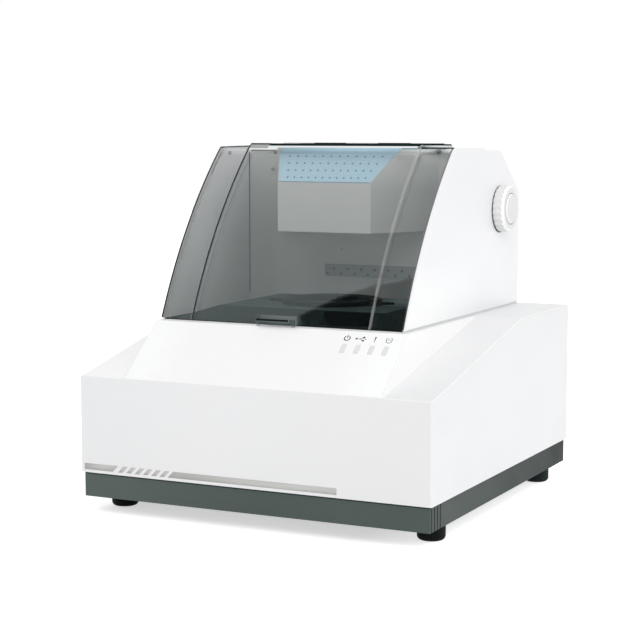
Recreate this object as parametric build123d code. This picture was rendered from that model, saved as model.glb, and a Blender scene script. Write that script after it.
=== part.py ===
from build123d import *
from math import atan2, ceil, cos, degrees, hypot, pi, sin, sqrt, tan
import os

# Bench near-infrared sample analyser, modelled in millimetres.
# X runs to the right, Y to the back and Z up. The origin is on the table, under the middle of the body.

# Housing
body_width = 430.0
body_depth = 445.0
body_height = 169.4
front_height = 110.0
ramp_run = 271.4
panel_run = 70.2
block_width = 315.0
housing_wall = 4.0
housing_edge = 2.0

# Plinth, feet and their screws
plinth_height = 28.0
plinth_inset = 2.7
plinth_wall = 3.0
plinth_edge = 1.2
groove_count = 4
groove_pitch = 8.0
groove_width = 3.0
groove_depth = 1.2
groove_setback = 4.0
foot_height = 19.0
foot_diameter = 31.0
foot_inset_x = 23.0
foot_inset_y = 52.5
foot_shift_y = 3.0
foot_round = 5.0
foot_pocket_diameter = 12.0
foot_pocket_depth = 8.0
foot_screw_head = 9.0
foot_screw_head_height = 3.0
foot_screw_shank = 4.9
foot_nut_width = 8.0
foot_nut_height = 4.0

# Clearances and cutting allowance
running_gap = 0.05
seat_gap = 0.3
overrun = 2.0

# Rear panel and what it carries
rear_window_width = 330.0
rear_window_height = 134.0
rear_window_lift = 14.0
rear_panel_lap = 12.0
rear_panel_thickness = 2.5
case_screw_head = 6.0
case_screw_head_height = 2.0
case_screw_shank = 2.9
case_screw_length = 12.0
case_screw_columns = 3
fan_size = 80.0
fan_depth = 25.0
fan_bore = 75.0
fan_x = -88.0
fan_hub_diameter = 32.0
fan_shaft_diameter = 4.0
fan_blade_count = 7
fan_blade_thickness = 1.6
fan_blade_chord = 16.0
fan_blade_angle = 38.0
fan_tip_gap = 1.5
fan_strut_width = 5.0
fan_strut_depth = 4.0
fan_corner = 4.0
grille_slot_height = 4.0
grille_slot_pitch = 7.6
grille_diameter = 74.0
vent_slot_count = 14
vent_slot_width = 3.5
vent_slot_height = 34.0
vent_slot_pitch = 8.0
vent_x = 20.0
inlet_x = 118.0
inlet_drop = 34.0
inlet_flange_width = 48.0
inlet_flange_height = 26.0
inlet_flange_thickness = 2.4
inlet_body_width = 28.0
inlet_body_height = 20.0
inlet_body_depth = 26.0
inlet_socket_width = 23.0
inlet_socket_height = 15.0
inlet_socket_depth = 17.0
inlet_corner = 4.0
inlet_pin_width = 2.0
inlet_pin_height = 4.0
inlet_pin_length = 9.5
inlet_pin_pitch = 7.0
inlet_pin_rise = 3.5
switch_rise = 30.0
switch_width = 13.0
switch_height = 19.0
switch_gap = 1.4
bezel_border = 3.5
bezel_thickness = 1.5
bezel_depth = 18.0
rocker_angle = 7.0
rocker_reach = 5.0
rocker_back = 4.0
rocker_proud = 0.2
port_x = 64.0
port_width = 12.0
port_height = 11.0
port_depth = 16.0
port_socket_width = 8.6
port_socket_height = 7.8
port_socket_depth = 9.0
port_tongue_width = 5.6
port_tongue_height = 3.2

# Status lights on the sloped panel
light_count = 4
light_pitch = 16.5
light_centre_x = 114.8
light_rise = 65.7
light_width = 5.4
light_length = 12.6
light_depth = 2.4
light_gap = 0.15

# Hood: cheeks, rear cover, fixed glazing
gasket_height = 2.0
gasket_width = 5.0
gasket_inset = 1.7
hood_width = 305.4
cheek_thickness = 4.0
cheek_edge = 1.6
hood_rear_y = 209.6
hood_step_y = 86.0
hood_roof_drop = 3.5
hood_chamfer_y = 141.3
hood_chamfer_drop = 51.7
hood_chamfer_round = 9.0
hood_rear_round = 18.0
rear_cover_wall = 3.0
canopy_foot_y = -147.7
canopy_crest_y = -8.4
canopy_height = 193.3
canopy_bulge = 11.8
canopy_crest_round = 5.0
canopy_least_round = 1.0
glazing_thickness = 4.0
header_depth = 10.0
header_height = 10.0

# Door, its handle and its hinge
door_width = 221.0
door_side_gap = 1.0
door_flange_thickness = 3.0
door_flange_depth = 8.0
door_flange_setback = 12.0
door_rear_setback = 17.8
door_seal_thickness = 0.7
handle_width = 52.0
handle_height = 9.8
handle_depth = 7.5
handle_wall = 2.0
handle_slot_height = 3.6
handle_block_width = 9.0
handle_tab_width = 3.8
handle_tab_thickness = 2.0
handle_tab_drop = 2.2
handle_tab_share = 0.42
hinge_axis_setback = 14.0
hinge_axis_rise = 2.8
hinge_pin_diameter = 3.0
knuckle_diameter = 6.0
knuckle_count = 5
knuckle_gap = 0.5
hinge_base_setback = 8.8
hinge_base_rise = 3.8
leaf_side_gap = 0.5
leaf_depth = 12.2
leaf_thickness = 3.0
leaf_drop = 0.2
leaf_web_depth = 5.0
leaf_web_height = 3.0

# Hand knobs
knob_y = 140.2
knob_rise = 119.8
knob_diameter = 56.0
knob_depth = 13.0
knob_gap = 1.0
knob_chamfer = 3.0
knob_flutes = 22
knob_flute_diameter = 11.0
knob_flute_depth = 0.9
knob_button_diameter = 36.0
knob_button_rise = 1.6
knob_button_edge = 1.2
knob_groove_width = 1.4
knob_groove_depth = 2.0
knob_stud_diameter = 8.0
knob_stud_reach = 8.0
knob_nut_diameter = 16.0
knob_nut_height = 5.0

# Sample chamber
chamber_wall_y = 58.7
chamber_wall_thickness = 2.5
wall_hole_x = -20.8
wall_hole_rise = 69.8
wall_hole_diameter = 2.8
stage_height = 14.35
stage_wall = 3.0
stage_top_width = 210.0
stage_top_front_y = -96.0
stage_base_gap = 0.5
stage_bore = 100.0
stage_dot_diameter = 2.2
stage_dot_pitch = 8.0
stage_dot_rows = 4
stage_dot_columns = 17
stage_dot_start_x = -100.0
stage_side_dot_columns = 4
stage_side_dot_start_x = 103.0
insert_x = 66.0
insert_width = 54.0
insert_length = 30.0
insert_corner = 7.0
insert_thickness = 2.0
rail_x = -43.0
rail_length = 147.0
rail_rise = 37.2
rail_height = 14.7
rail_thickness = 2.0
rail_hole_diameter = 3.4
rail_hole_pitch = 18.0
rail_hole_count = 8
rail_upper_inset = 12.7
rail_lower_inset = 3.9
rail_upper_rise = 9.2
rail_lower_rise = 3.2

# Turntable, cup and drive
spin_x = 0.0
spin_y = -14.5
carrier_diameter = 117.0
carrier_height = 5.2
carrier_edge = 1.0
carrier_ear_reach = 78.0
carrier_ear_root = 13.0
carrier_ear_tip = 2.5
carrier_ear_angle = 6.5
turntable_diameter = 90.0
turntable_side_gap = 1.0
turntable_flange = 4.0
hub_bore = 68.0
collar_diameter = 82.0
journal_diameter = 76.0
cup_rim_diameter = 84.0
cup_rim_height = 2.4
cup_side_gap = 0.4
cup_depth = 15.5
cup_wall = 2.0
cup_floor = 2.0
cup_window_thickness = 1.5
cup_window_lap = 2.0
cup_ring_groove = 1.2
lug_width = 12.0
lug_depth = 12.0
lug_height = 8.0
lug_x = 63.0
lug_y = -27.0
bearing_outer = 92.0
bearing_width = 9.0
bearing_race = 4.0
bearing_groove = 1.0
bearing_plate_thickness = 4.0
bearing_plate_diameter = 130.0
bearing_cup_wall = 4.0
bearing_screw_count = 6
pulley_diameter = 100.0
pulley_width = 10.0
pulley_flange = 1.0
pulley_flange_height = 1.5
belt_thickness = 1.4
belt_width = 6.4
motor_x = -95.0
motor_pulley_diameter = 20.0
motor_shaft_diameter = 6.0
motor_shaft_bore_depth = 12.0
motor_diameter = 37.0
motor_flange_width = 46.0
motor_flange_thickness = 3.0
motor_pulley_gap = 4.0

# Optics and electronics
bench_x = -125.0
bench_width = 215.0
bench_y = -100.0
bench_depth = 160.0
bench_height = 70.0
bench_wall = 5.0
bench_window = 30.0
lamp_house_width = 70.0
lamp_house_height = 58.0
lamp_house_wall = 3.0
lamp_house_slots = 5
lamp_house_slot_width = 4.0
lamp_house_slot_height = 30.0
lamp_bulb_diameter = 16.0
lamp_bulb_length = 22.0
lamp_socket_diameter = 20.0
lamp_socket_height = 12.0
lens_diameter = 44.0
lens_edge = 4.0
lens_crown = 6.0
lens_lap = 2.0
window_tube_diameter = 58.0
window_tube_wall = 4.0
window_flange_diameter = 66.0
window_flange_thickness = 5.0
window_glass_thickness = 3.0
window_under_cup = 1.2
mirror_width = 34.0
mirror_thickness = 5.0
mirror_mount_width = 38.0
mirror_mount_height = 8.0
mirror_angle = 45.0
grating_width = 36.0
grating_height = 34.0
grating_thickness = 8.0
grating_base_diameter = 44.0
grating_base_height = 10.0
grating_angle = 20.0
grating_x = 55.0
grating_groove_count = 11
grating_groove_depth = 0.6
detector_width = 40.0
detector_depth = 26.0
detector_height = 44.0
detector_fin_count = 5
detector_fin_depth = 6.0
detector_x = -95.0
board_side_inset = 13.0
board_bench_gap = 11.0
board_front_inset = 72.5
board_length = 210.0
board_thickness = 1.6
board_standoff = 8.0
board_standoff_diameter = 6.0
board_corner_inset = 6.0
chip_width = 24.0
chip_height = 3.0
chip_count = 3
connector_width = 30.0
connector_height = 12.0
supply_side_inset = 19.0
supply_bench_gap = 22.0
supply_front_inset = 112.5
supply_depth = 190.0
supply_height = 42.0
supply_slots = 9
supply_slot_width = 4.0
supply_slot_length = 40.0

# Upper optical head
head_front_width = 120.0
head_rear_width = 209.8
head_front_y = -35.0
head_base_rise = 96.2
head_face_height = 57.4
head_chamfer_run = 36.4
head_chamfer_rise = 34.5
head_wall = 2.5
head_panel_thickness = 2.0
head_panel_lip = 2.0
head_dot_diameter = 2.6
head_dot_rows = 4
head_dot_columns = 12
head_dot_first_share = 0.17
head_dot_pitch_share = 0.235
head_dot_spread_share = 0.80
head_window_diameter = 28.0
sensor_diameter = 34.0
sensor_height = 40.0

# Levels and lines that several pieces share
plinth_z = foot_height
housing_z = plinth_z + plinth_height
front_z = housing_z + front_height
deck_z = housing_z + body_height
gasket_z = deck_z + gasket_height
canopy_z = gasket_z + canopy_height
roof_z = canopy_z - hood_roof_drop
stage_z = deck_z + stage_height
front_y = -body_depth / 2
rear_y = body_depth / 2
foot_span_x = body_width - 2 * foot_inset_x
foot_span_y = body_depth - 2 * foot_inset_y
tray_floor_z = plinth_z + plinth_wall
cheek_inner = hood_width / 2 - cheek_thickness
door_half = door_width / 2
leaf_width = door_width - 2 * door_flange_thickness - 2 * leaf_side_gap
header_z = canopy_z - glazing_thickness
hinge_y = hood_step_y - hinge_axis_setback
hinge_z = canopy_z + hinge_axis_rise
door_rear_y = hood_step_y - door_rear_setback
bench_top_z = tray_floor_z + bench_height
bench_mid_y = bench_y + bench_depth / 2
board_x = board_side_inset - body_width / 2
board_width = bench_x - board_bench_gap - board_x
board_y = front_y + board_front_inset
supply_x = bench_x + bench_width + supply_bench_gap
supply_width = body_width / 2 - supply_side_inset - supply_x
supply_y = front_y + supply_front_inset
lamp_top_z = bench_top_z + lamp_house_height
carrier_z = stage_z + carrier_height
deck_underside_z = deck_z - housing_wall
bearing_top_z = deck_underside_z - bearing_plate_thickness
bearing_z = bearing_top_z - bearing_width
hub_base_z = bearing_z - seat_gap - pulley_width - seat_gap
cup_base_z = carrier_z - cup_depth
head_z = gasket_z + head_base_rise
panel_slope = atan2(deck_z - front_z, panel_run)
rear_window_z = housing_z + rear_window_lift
rear_panel_y = rear_y - housing_wall
service_z = rear_window_z + rear_window_height / 2


def span_box(x, y, z):
    """Block that fills the given (low, high) ranges."""
    lows_and_highs = (x, y, z)
    size = [high - low for low, high in lows_and_highs]
    place = [(high + low) / 2 for low, high in lows_and_highs]
    return Pos(*place) * Box(*size)


def around(middle, width):
    """Range of a given width about its middle."""
    return (middle - width / 2, middle + width / 2)


def upright_disc(x, y, z, diameter):
    """Cylinder along Z over a (low, high) range of heights."""
    return Pos(x, y, (z[0] + z[1]) / 2) * Cylinder(diameter / 2, z[1] - z[0])


def disc_along_x(x, y, z, diameter):
    """Cylinder along X over a (low, high) range of X."""
    return Pos((x[0] + x[1]) / 2, y, z) * Rot(0, 90, 0) * Cylinder(diameter / 2, x[1] - x[0])


def disc_along_y(x, y, z, diameter):
    """Cylinder along Y over a (low, high) range of Y."""
    return Pos(x, (y[0] + y[1]) / 2, z) * Rot(90, 0, 0) * Cylinder(diameter / 2, y[1] - y[0])


def polygon_face(points):
    """Flat face with straight sides through the given points."""
    return make_face(Polyline(*points, close=True))


def side_prism(face, x):
    """Face drawn in (Y, Z), carried along X over a (low, high) range."""
    return extrude(Plane.YZ.offset(x[0]) * face, amount=x[1] - x[0])


def mirrored(solid):
    """The same piece on the other side of the middle plane."""
    return mirror(solid, about=Plane.YZ)


def wedge_line(run, inset):
    """Lower and upper point (Y, Z) of a front slope of a given run, moved inwards by an inset."""
    rise = deck_z - front_z
    slope = atan2(rise, run)
    shift = inset / cos(slope)
    lower = (front_y + inset, front_z + inset * tan(slope) - shift)
    upper = (front_y + (rise - inset + shift) / tan(slope), deck_z - inset)
    return lower, upper


def housing_form(inset, base_z):
    """Housing body with side ramps and a steep middle panel, moved inwards by an inset."""
    form = None
    for half_width, run in ((body_width / 2, ramp_run), (block_width / 2, panel_run)):
        lower, upper = wedge_line(run, inset)
        back = rear_y - inset
        outline = [(lower[0], base_z), lower, upper, (back, deck_z - inset), (back, base_z)]
        wedge = side_prism(polygon_face(outline), (inset - half_width, half_width - inset))
        form = wedge if form is None else form + wedge
    return form


def panel_frame(x, rise):
    """Plane on the steep middle panel, at a distance up its slope, facing outwards."""
    origin = (x, front_y + rise * cos(panel_slope), front_z + rise * sin(panel_slope))
    return Plane(origin=origin, x_dir=(1, 0, 0), z_dir=(0, -sin(panel_slope), cos(panel_slope)))


def light_bars(grow, depth):
    """The row of light bars on the panel, grown by a gap on each side."""
    bars = []
    for index in range(light_count):
        x = light_centre_x + (index - (light_count - 1) / 2) * light_pitch
        bar = Box(light_width + 2 * grow, light_length + 2 * grow, depth, align=(Align.CENTER, Align.CENTER, Align.MAX))
        bars.append(panel_frame(x, light_rise) * bar)
    return bars


def rear_screw_places():
    """Screw centres (X, Z) around the rear window."""
    half = rear_window_width / 2 + rear_panel_lap / 2
    places = []
    for column in range(case_screw_columns):
        x = -half + column * 2 * half / (case_screw_columns - 1)
        for z in (rear_window_z - rear_panel_lap / 2, rear_window_z + rear_window_height + rear_panel_lap / 2):
            places.append((x, z))
    return places


def make_lower_housing():
    """White housing shell, open below, with its deck bore, rear window and light slots."""
    outer = housing_form(0, housing_z)
    rim = [edge for edge in outer.edges() if edge.center().Z > housing_z + housing_edge]
    outer = fillet(rim, housing_edge)
    shell = outer - housing_form(housing_wall, housing_z - overrun)
    shell -= upright_disc(spin_x, spin_y, (deck_underside_z - overrun, deck_z + overrun), stage_bore)
    window_z = (rear_window_z, rear_window_z + rear_window_height)
    shell -= span_box(around(0, rear_window_width), (rear_panel_y - overrun, rear_y + overrun), window_z)
    for bar in light_bars(light_gap, light_depth + overrun):
        shell -= bar
    for x, z in rear_screw_places():
        shell -= disc_along_y(x, (rear_panel_y - overrun, rear_y + overrun), z, case_screw_shank + 2 * running_gap)
        head_y = (rear_y - case_screw_head_height - seat_gap, rear_y + overrun)
        shell -= disc_along_y(x, head_y, z, case_screw_head + 2 * seat_gap)
    return shell


def make_plinth_tray():
    """Dark tray under the housing, with upright grooves behind both front corners."""
    half_x = body_width / 2 - plinth_inset
    half_y = body_depth / 2 - plinth_inset
    tray = span_box((-half_x, half_x), (-half_y, half_y), (plinth_z, housing_z))
    tray = fillet(tray.edges().filter_by(Axis.Z), plinth_edge)
    inner_x = half_x - plinth_wall
    inner_y = half_y - plinth_wall
    tray -= span_box((-inner_x, inner_x), (-inner_y, inner_y), (tray_floor_z, housing_z + overrun))
    for index in range(groove_count):
        y = -half_y + groove_setback + index * groove_pitch
        for side in (-1, 1):
            middle = side * half_x
            groove = span_box(around(middle, 2 * groove_depth), around(y, groove_width), (plinth_z - overrun, housing_z + overrun))
            tray -= groove
    for x, y in foot_places():
        tray -= upright_disc(x, y, (plinth_z - overrun, tray_floor_z + overrun), foot_screw_shank + 2 * running_gap)
    return tray


def foot_places():
    """Centres (X, Y) of the four feet."""
    rows = (foot_shift_y - foot_span_y / 2, foot_shift_y + foot_span_y / 2)
    return [(x, y) for x in (-foot_span_x / 2, foot_span_x / 2) for y in rows]


def make_rubber_feet():
    """Four round feet with a rounded lower edge and a pocket for the screw head."""
    feet = []
    for x, y in foot_places():
        foot = upright_disc(x, y, (0, foot_height), foot_diameter)
        foot = fillet(foot.edges().sort_by(Axis.Z)[0], foot_round)
        foot -= upright_disc(x, y, (-overrun, foot_pocket_depth), foot_pocket_diameter)
        foot -= upright_disc(x, y, (-overrun, foot_height + overrun), foot_screw_shank + 2 * running_gap)
        feet.append(foot)
    return feet


def make_foot_screws():
    """Screw and nut through each foot and the tray floor."""
    screws = []
    top = tray_floor_z + foot_nut_height
    for x, y in foot_places():
        screw = upright_disc(x, y, (foot_pocket_depth - foot_screw_head_height, foot_pocket_depth), foot_screw_head)
        screw += upright_disc(x, y, (foot_pocket_depth - overrun, top), foot_screw_shank)
        nut = extrude(Plane.XY.offset(tray_floor_z) * Pos(x, y) * RegularPolygon(foot_nut_width / 2, 6), foot_nut_height)
        screws.append(screw + nut)
    return screws


def make_rear_panel():
    """Plate behind the rear window, with the fan grille, vents and the holes for inlet, switch and port."""
    half_x = rear_window_width / 2 + rear_panel_lap
    z = (rear_window_z - rear_panel_lap, rear_window_z + rear_window_height + rear_panel_lap)
    y = (rear_panel_y - rear_panel_thickness, rear_panel_y)
    through = (y[0] - overrun, y[1] + overrun)
    panel = span_box((-half_x, half_x), y, z)
    rows = int(grille_diameter / grille_slot_pitch)
    for row in range(rows):
        offset = (row - (rows - 1) / 2) * grille_slot_pitch
        reach = sqrt((grille_diameter / 2) ** 2 - offset ** 2)
        slot = Plane.XZ.offset(-through[1]) * Pos(fan_x, service_z + offset) * SlotOverall(2 * reach, grille_slot_height)
        panel -= extrude(slot, through[1] - through[0])
    for index in range(vent_slot_count):
        x = vent_x + (index - (vent_slot_count - 1) / 2) * vent_slot_pitch
        slot_z = around(service_z + vent_slot_height / 2 + grille_slot_pitch, vent_slot_height)
        panel -= span_box(around(x, vent_slot_width), through, slot_z)
    panel -= span_box(around(inlet_x, inlet_body_width + 2 * running_gap), through, around(service_z - inlet_drop, inlet_body_height + 2 * running_gap))
    panel -= span_box(around(inlet_x, bezel_hole_width()), through, around(service_z + switch_rise, bezel_hole_height()))
    panel -= span_box(around(port_x, port_width + 2 * running_gap), through, around(service_z - inlet_drop, port_height + 2 * running_gap))
    for x, z_screw in rear_screw_places():
        panel -= disc_along_y(x, through, z_screw, case_screw_shank + 2 * running_gap)
    return panel


def make_case_screws():
    """Sunk screws that hold the rear panel to the housing."""
    screws = []
    for x, z in rear_screw_places():
        head_y = (rear_y - case_screw_head_height - seat_gap, rear_y - seat_gap)
        screw = disc_along_y(x, head_y, z, case_screw_head)
        screw += disc_along_y(x, (rear_y - case_screw_length, head_y[1] - running_gap), z, case_screw_shank)
        screw -= span_box(around(x, case_screw_head / 2), (head_y[1] - case_screw_head_height / 2, head_y[1] + overrun), around(z, case_screw_head / 6))
        screws.append(screw)
    return screws


def make_power_inlet():
    """Appliance inlet with its flange and keyed socket."""
    z_mid = service_z - inlet_drop
    flange_y = (rear_panel_y, rear_panel_y + inlet_flange_thickness)
    inlet = span_box(around(inlet_x, inlet_flange_width), flange_y, around(z_mid, inlet_flange_height))
    inlet = fillet(inlet.edges().filter_by(Axis.Y), inlet_corner)
    inlet += span_box(around(inlet_x, inlet_body_width), (flange_y[1] - inlet_body_depth, flange_y[1]), around(z_mid, inlet_body_height))
    socket = span_box(around(inlet_x, inlet_socket_width), (flange_y[1] - inlet_socket_depth, flange_y[1] + overrun), around(z_mid, inlet_socket_height))
    upper = socket.edges().filter_by(Axis.Y).group_by(Axis.Z)[-1]
    return inlet - chamfer(upper, inlet_corner)


def make_inlet_pins():
    """Three blades standing on the socket floor."""
    z_mid = service_z - inlet_drop
    floor_y = rear_panel_y + inlet_flange_thickness - inlet_socket_depth
    pins = []
    for step, rise in ((-1, 0), (0, inlet_pin_rise), (1, 0)):
        place = around(inlet_x + step * inlet_pin_pitch, inlet_pin_width)
        pin_z = around(z_mid - inlet_pin_rise / 2 + rise, inlet_pin_height)
        pins.append(span_box(place, (floor_y, floor_y + inlet_pin_length), pin_z))
    return pins


def bezel_hole_width():
    """Width of the panel hole that the switch bezel fills."""
    return switch_width + bezel_border


def bezel_hole_height():
    """Height of the panel hole that the switch bezel fills."""
    return switch_height + 2 * switch_gap + bezel_border


def make_rocker_bezel():
    """Frame of the power switch."""
    z_mid = service_z + switch_rise
    width = bezel_hole_width() - 2 * running_gap
    height = bezel_hole_height() - 2 * running_gap
    face_y = rear_panel_y + bezel_thickness
    bezel = span_box(around(inlet_x, width + bezel_border), (rear_panel_y, face_y), around(z_mid, height + bezel_border))
    bezel += span_box(around(inlet_x, width), (face_y - bezel_depth, face_y), around(z_mid, height))
    hole_z = around(z_mid, switch_height + 2 * switch_gap)
    return bezel - span_box(around(inlet_x, switch_width + 2 * seat_gap), (face_y - bezel_depth + bezel_border, face_y + overrun), hole_z)


def rocker_pivot_y():
    """Depth of the rocker's pivot, so that its raised end stays just inside the rear line."""
    half = switch_height / 2
    end = rocker_reach + half * tan(rocker_angle * pi / 180)
    swing = end * cos(rocker_angle * pi / 180) + half * sin(rocker_angle * pi / 180)
    return rear_y - rocker_proud - swing


def make_power_rocker():
    """Two-way rocker key, resting with its lower half raised."""
    half = switch_height / 2
    end = rocker_reach + half * tan(rocker_angle * pi / 180)
    outline = [(rocker_reach, 0), (end, half), (0, half), (-rocker_back, half / 2), (-rocker_back, -half / 2), (0, -half), (end, -half)]
    key = side_prism(polygon_face(outline), around(0, switch_width))
    pivot = Pos(inlet_x, rocker_pivot_y(), service_z + switch_rise)
    return pivot * Rot(rocker_angle, 0, 0) * key


def make_data_port():
    """Square data socket with its centre tongue."""
    z_mid = service_z - inlet_drop
    face_y = rear_panel_y + seat_gap
    port = span_box(around(port_x, port_width), (face_y - port_depth, face_y), around(z_mid, port_height))
    socket_y = (face_y - port_socket_depth, face_y + overrun)
    socket = span_box(around(port_x, port_socket_width), socket_y, around(z_mid, port_socket_height))
    tongue = span_box(around(port_x, port_tongue_width), (socket_y[0], face_y - seat_gap), around(z_mid, port_tongue_height))
    return port - (socket - tongue)


def fan_y():
    """Range of the fan's depth, behind the rear panel."""
    back = rear_panel_y - rear_panel_thickness
    return (back - fan_depth, back)


def make_fan_frame():
    """Square fan frame with its struts and bearing boss."""
    low, high = fan_y()
    frame = span_box(around(fan_x, fan_size), (low, high), around(service_z, fan_size))
    frame = fillet(frame.edges().filter_by(Axis.Y), fan_corner)
    frame -= disc_along_y(fan_x, (low - overrun, high + overrun), service_z, fan_bore)
    strut_y = (low, low + fan_strut_depth)
    frame += span_box(around(fan_x, fan_bore + fan_strut_depth), strut_y, around(service_z, fan_strut_width))
    frame += span_box(around(fan_x, fan_strut_width), strut_y, around(service_z, fan_bore + fan_strut_depth))
    frame += disc_along_y(fan_x, strut_y, service_z, fan_hub_diameter)
    bore_y = (low - overrun, low + fan_strut_depth + overrun)
    return frame - disc_along_y(fan_x, bore_y, service_z, fan_shaft_diameter + 2 * running_gap)


def make_fan_rotor():
    """Hub, shaft and pitched blades."""
    low, high = fan_y()
    hub_y = (low + fan_strut_depth + seat_gap, high - overrun)
    rotor = disc_along_y(fan_x, hub_y, service_z, fan_hub_diameter)
    reach = fan_bore / 2 - fan_tip_gap
    root = fan_hub_diameter / 4
    middle = Pos(fan_x, (hub_y[0] + hub_y[1]) / 2, service_z)
    for index in range(fan_blade_count):
        blade = Pos((reach + root) / 2, 0, 0) * Rot(fan_blade_angle, 0, 0) * Box(reach - root, fan_blade_thickness, fan_blade_chord)
        rotor += middle * Rot(0, index * 360 / fan_blade_count, 0) * blade
    shaft_y = (low + running_gap, hub_y[1])
    return rotor + disc_along_y(fan_x, shaft_y, service_z, fan_shaft_diameter)


def canopy_arc():
    """Centre (Y, Z) and radius of the canopy's front curve."""
    span_y = canopy_crest_y - canopy_foot_y
    chord = hypot(span_y, canopy_height)
    radius = (chord ** 2 / 4 + canopy_bulge ** 2) / (2 * canopy_bulge)
    inward = radius - canopy_bulge
    centre_y = (canopy_foot_y + canopy_crest_y) / 2 + inward * canopy_height / chord
    centre_z = gasket_z + canopy_height / 2 - inward * span_y / chord
    return centre_y, centre_z, radius


def canopy_point(lift, z):
    """Point (Y, Z) of the canopy's front curve, raised by a lift, at a height."""
    centre_y, centre_z, radius = canopy_arc()
    return (centre_y - sqrt((radius + lift) ** 2 - (z - centre_z) ** 2), z)


def canopy_face(lift, back_y, foot_z):
    """Side face under the canopy line raised by a lift, from a foot height back to a rear line."""
    top = canopy_z + lift
    foot = canopy_point(lift, foot_z)
    crest = canopy_point(lift, top)
    middle = canopy_point(lift, (foot_z + top) / 2)
    outline = [ThreePointArc(foot, middle, crest), Polyline(crest, (back_y, top), (back_y, foot_z), foot)]
    face = make_face(outline)
    corner = face.vertices().sort_by_distance(Vertex(crest[0], crest[1], 0))[0]
    return fillet(corner, max(canopy_crest_round + lift, canopy_least_round))


def canopy_band(low_lift, high_lift, back_y, foot_z, x):
    """Curved sheet between two lifts of the canopy line, over a range of X."""
    outer = side_prism(canopy_face(high_lift, back_y, foot_z), x)
    wide = (x[0] - overrun, x[1] + overrun)
    return outer - side_prism(canopy_face(low_lift, back_y + overrun, foot_z - overrun), wide)


def make_right_cheek():
    """White side plate of the hood, with rounded outer edges and the stud hole."""
    foot = canopy_point(0, gasket_z)
    crest = canopy_point(0, canopy_z)
    middle = canopy_point(0, gasket_z + canopy_height / 2)
    rest = [crest, (hood_step_y, canopy_z), (hood_step_y + hood_roof_drop, roof_z), (hood_chamfer_y, roof_z)]
    rest += [(hood_rear_y, roof_z - hood_chamfer_drop), (hood_rear_y, gasket_z), foot]
    face = make_face([ThreePointArc(foot, middle, crest), Polyline(*rest)])
    face = round_corner(face, (hood_chamfer_y, roof_z), hood_chamfer_round)
    face = round_corner(face, (hood_rear_y, roof_z - hood_chamfer_drop), hood_rear_round)
    face = round_corner(face, crest, canopy_crest_round)
    cheek = side_prism(face, (cheek_inner, hood_width / 2))
    cheek = fillet(cheek.faces().sort_by(Axis.X)[-1].edges(), cheek_edge)
    wide = (cheek_inner - overrun, hood_width / 2 + overrun)
    return cheek - disc_along_x(wide, knob_y, gasket_z + knob_rise, knob_stud_diameter + 2 * running_gap)


def round_corner(face, point, radius):
    """Rounds the corner of a flat face that lies nearest to a point."""
    corner = face.vertices().sort_by_distance(Vertex(point[0], point[1], 0))[0]
    return fillet(corner, radius)


def make_rear_cover():
    """Bent sheet behind the door: short roof, chamfer and back of the hood."""
    front = hood_step_y
    points = [(front, roof_z), (hood_chamfer_y, roof_z), (hood_rear_y, roof_z - hood_chamfer_drop)]
    face = polygon_face(points + [(hood_rear_y, gasket_z), (front, gasket_z)])
    face = round_corner(face, points[1], hood_chamfer_round)
    face = round_corner(face, points[2], hood_rear_round)
    hollow = offset(face, amount=-rear_cover_wall, kind=Kind.INTERSECTION)
    x = (-cheek_inner, cheek_inner)
    wide = (x[0] - overrun, x[1] + overrun)
    cover = side_prism(face, x) - side_prism(hollow, wide)
    inner_back = hood_rear_y - rear_cover_wall
    cover -= span_box(wide, (front - overrun, front + 2 * rear_cover_wall), (gasket_z - overrun, roof_z - rear_cover_wall))
    return cover - span_box(wide, (front - overrun, inner_back), (gasket_z - overrun, gasket_z + 2 * rear_cover_wall))


def make_hood_gasket():
    """Dark rubber frame between the deck and the hood, set back from its outline."""
    half_x = hood_width / 2 - gasket_inset
    y = (canopy_foot_y + gasket_inset, hood_rear_y - gasket_inset)
    z = (deck_z, gasket_z)
    frame = span_box((-half_x, half_x), y, z)
    inner_x = half_x - gasket_width
    inner = span_box((-inner_x, inner_x), (y[0] + gasket_width, y[1] - gasket_width), (z[0] - overrun, z[1] + overrun))
    return frame - inner


def make_right_strip():
    """Fixed smoked strip between the door and the right cheek."""
    x = (door_half + door_side_gap, cheek_inner)
    return canopy_band(-glazing_thickness, 0, hood_step_y, gasket_z, x)


def make_header_bar():
    """Cross bar under the rear ends of the strips, which carries the hinge."""
    y = (hood_step_y - header_depth, hood_step_y)
    return span_box((-cheek_inner, cheek_inner), y, (header_z - header_height, header_z))


def knuckle_spans(fixed):
    """X ranges of the fixed or the moving hinge knuckles."""
    width = leaf_width / knuckle_count
    spans = []
    for index in range(knuckle_count):
        if (index % 2 == 0) == fixed:
            low = -leaf_width / 2 + index * width
            spans.append((low + knuckle_gap / 2, low + width - knuckle_gap / 2))
    return spans


def make_hinge_base():
    """Dark hinge bar on the header, with its fixed knuckles."""
    y = (hood_step_y - hinge_base_setback, hood_step_y)
    z = (header_z, canopy_z + hinge_base_rise)
    base = span_box((-leaf_width / 2, leaf_width / 2), y, z)
    for span in knuckle_spans(True):
        base += disc_along_x(span, hinge_y, hinge_z, knuckle_diameter)
        base += span_box(span, (hinge_y, y[1] - overrun), (hinge_z - knuckle_diameter / 2, hinge_z))
    bore = (-leaf_width / 2 - overrun, leaf_width / 2 + overrun)
    return base - disc_along_x(bore, hinge_y, hinge_z, hinge_pin_diameter + 2 * running_gap)


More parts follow.
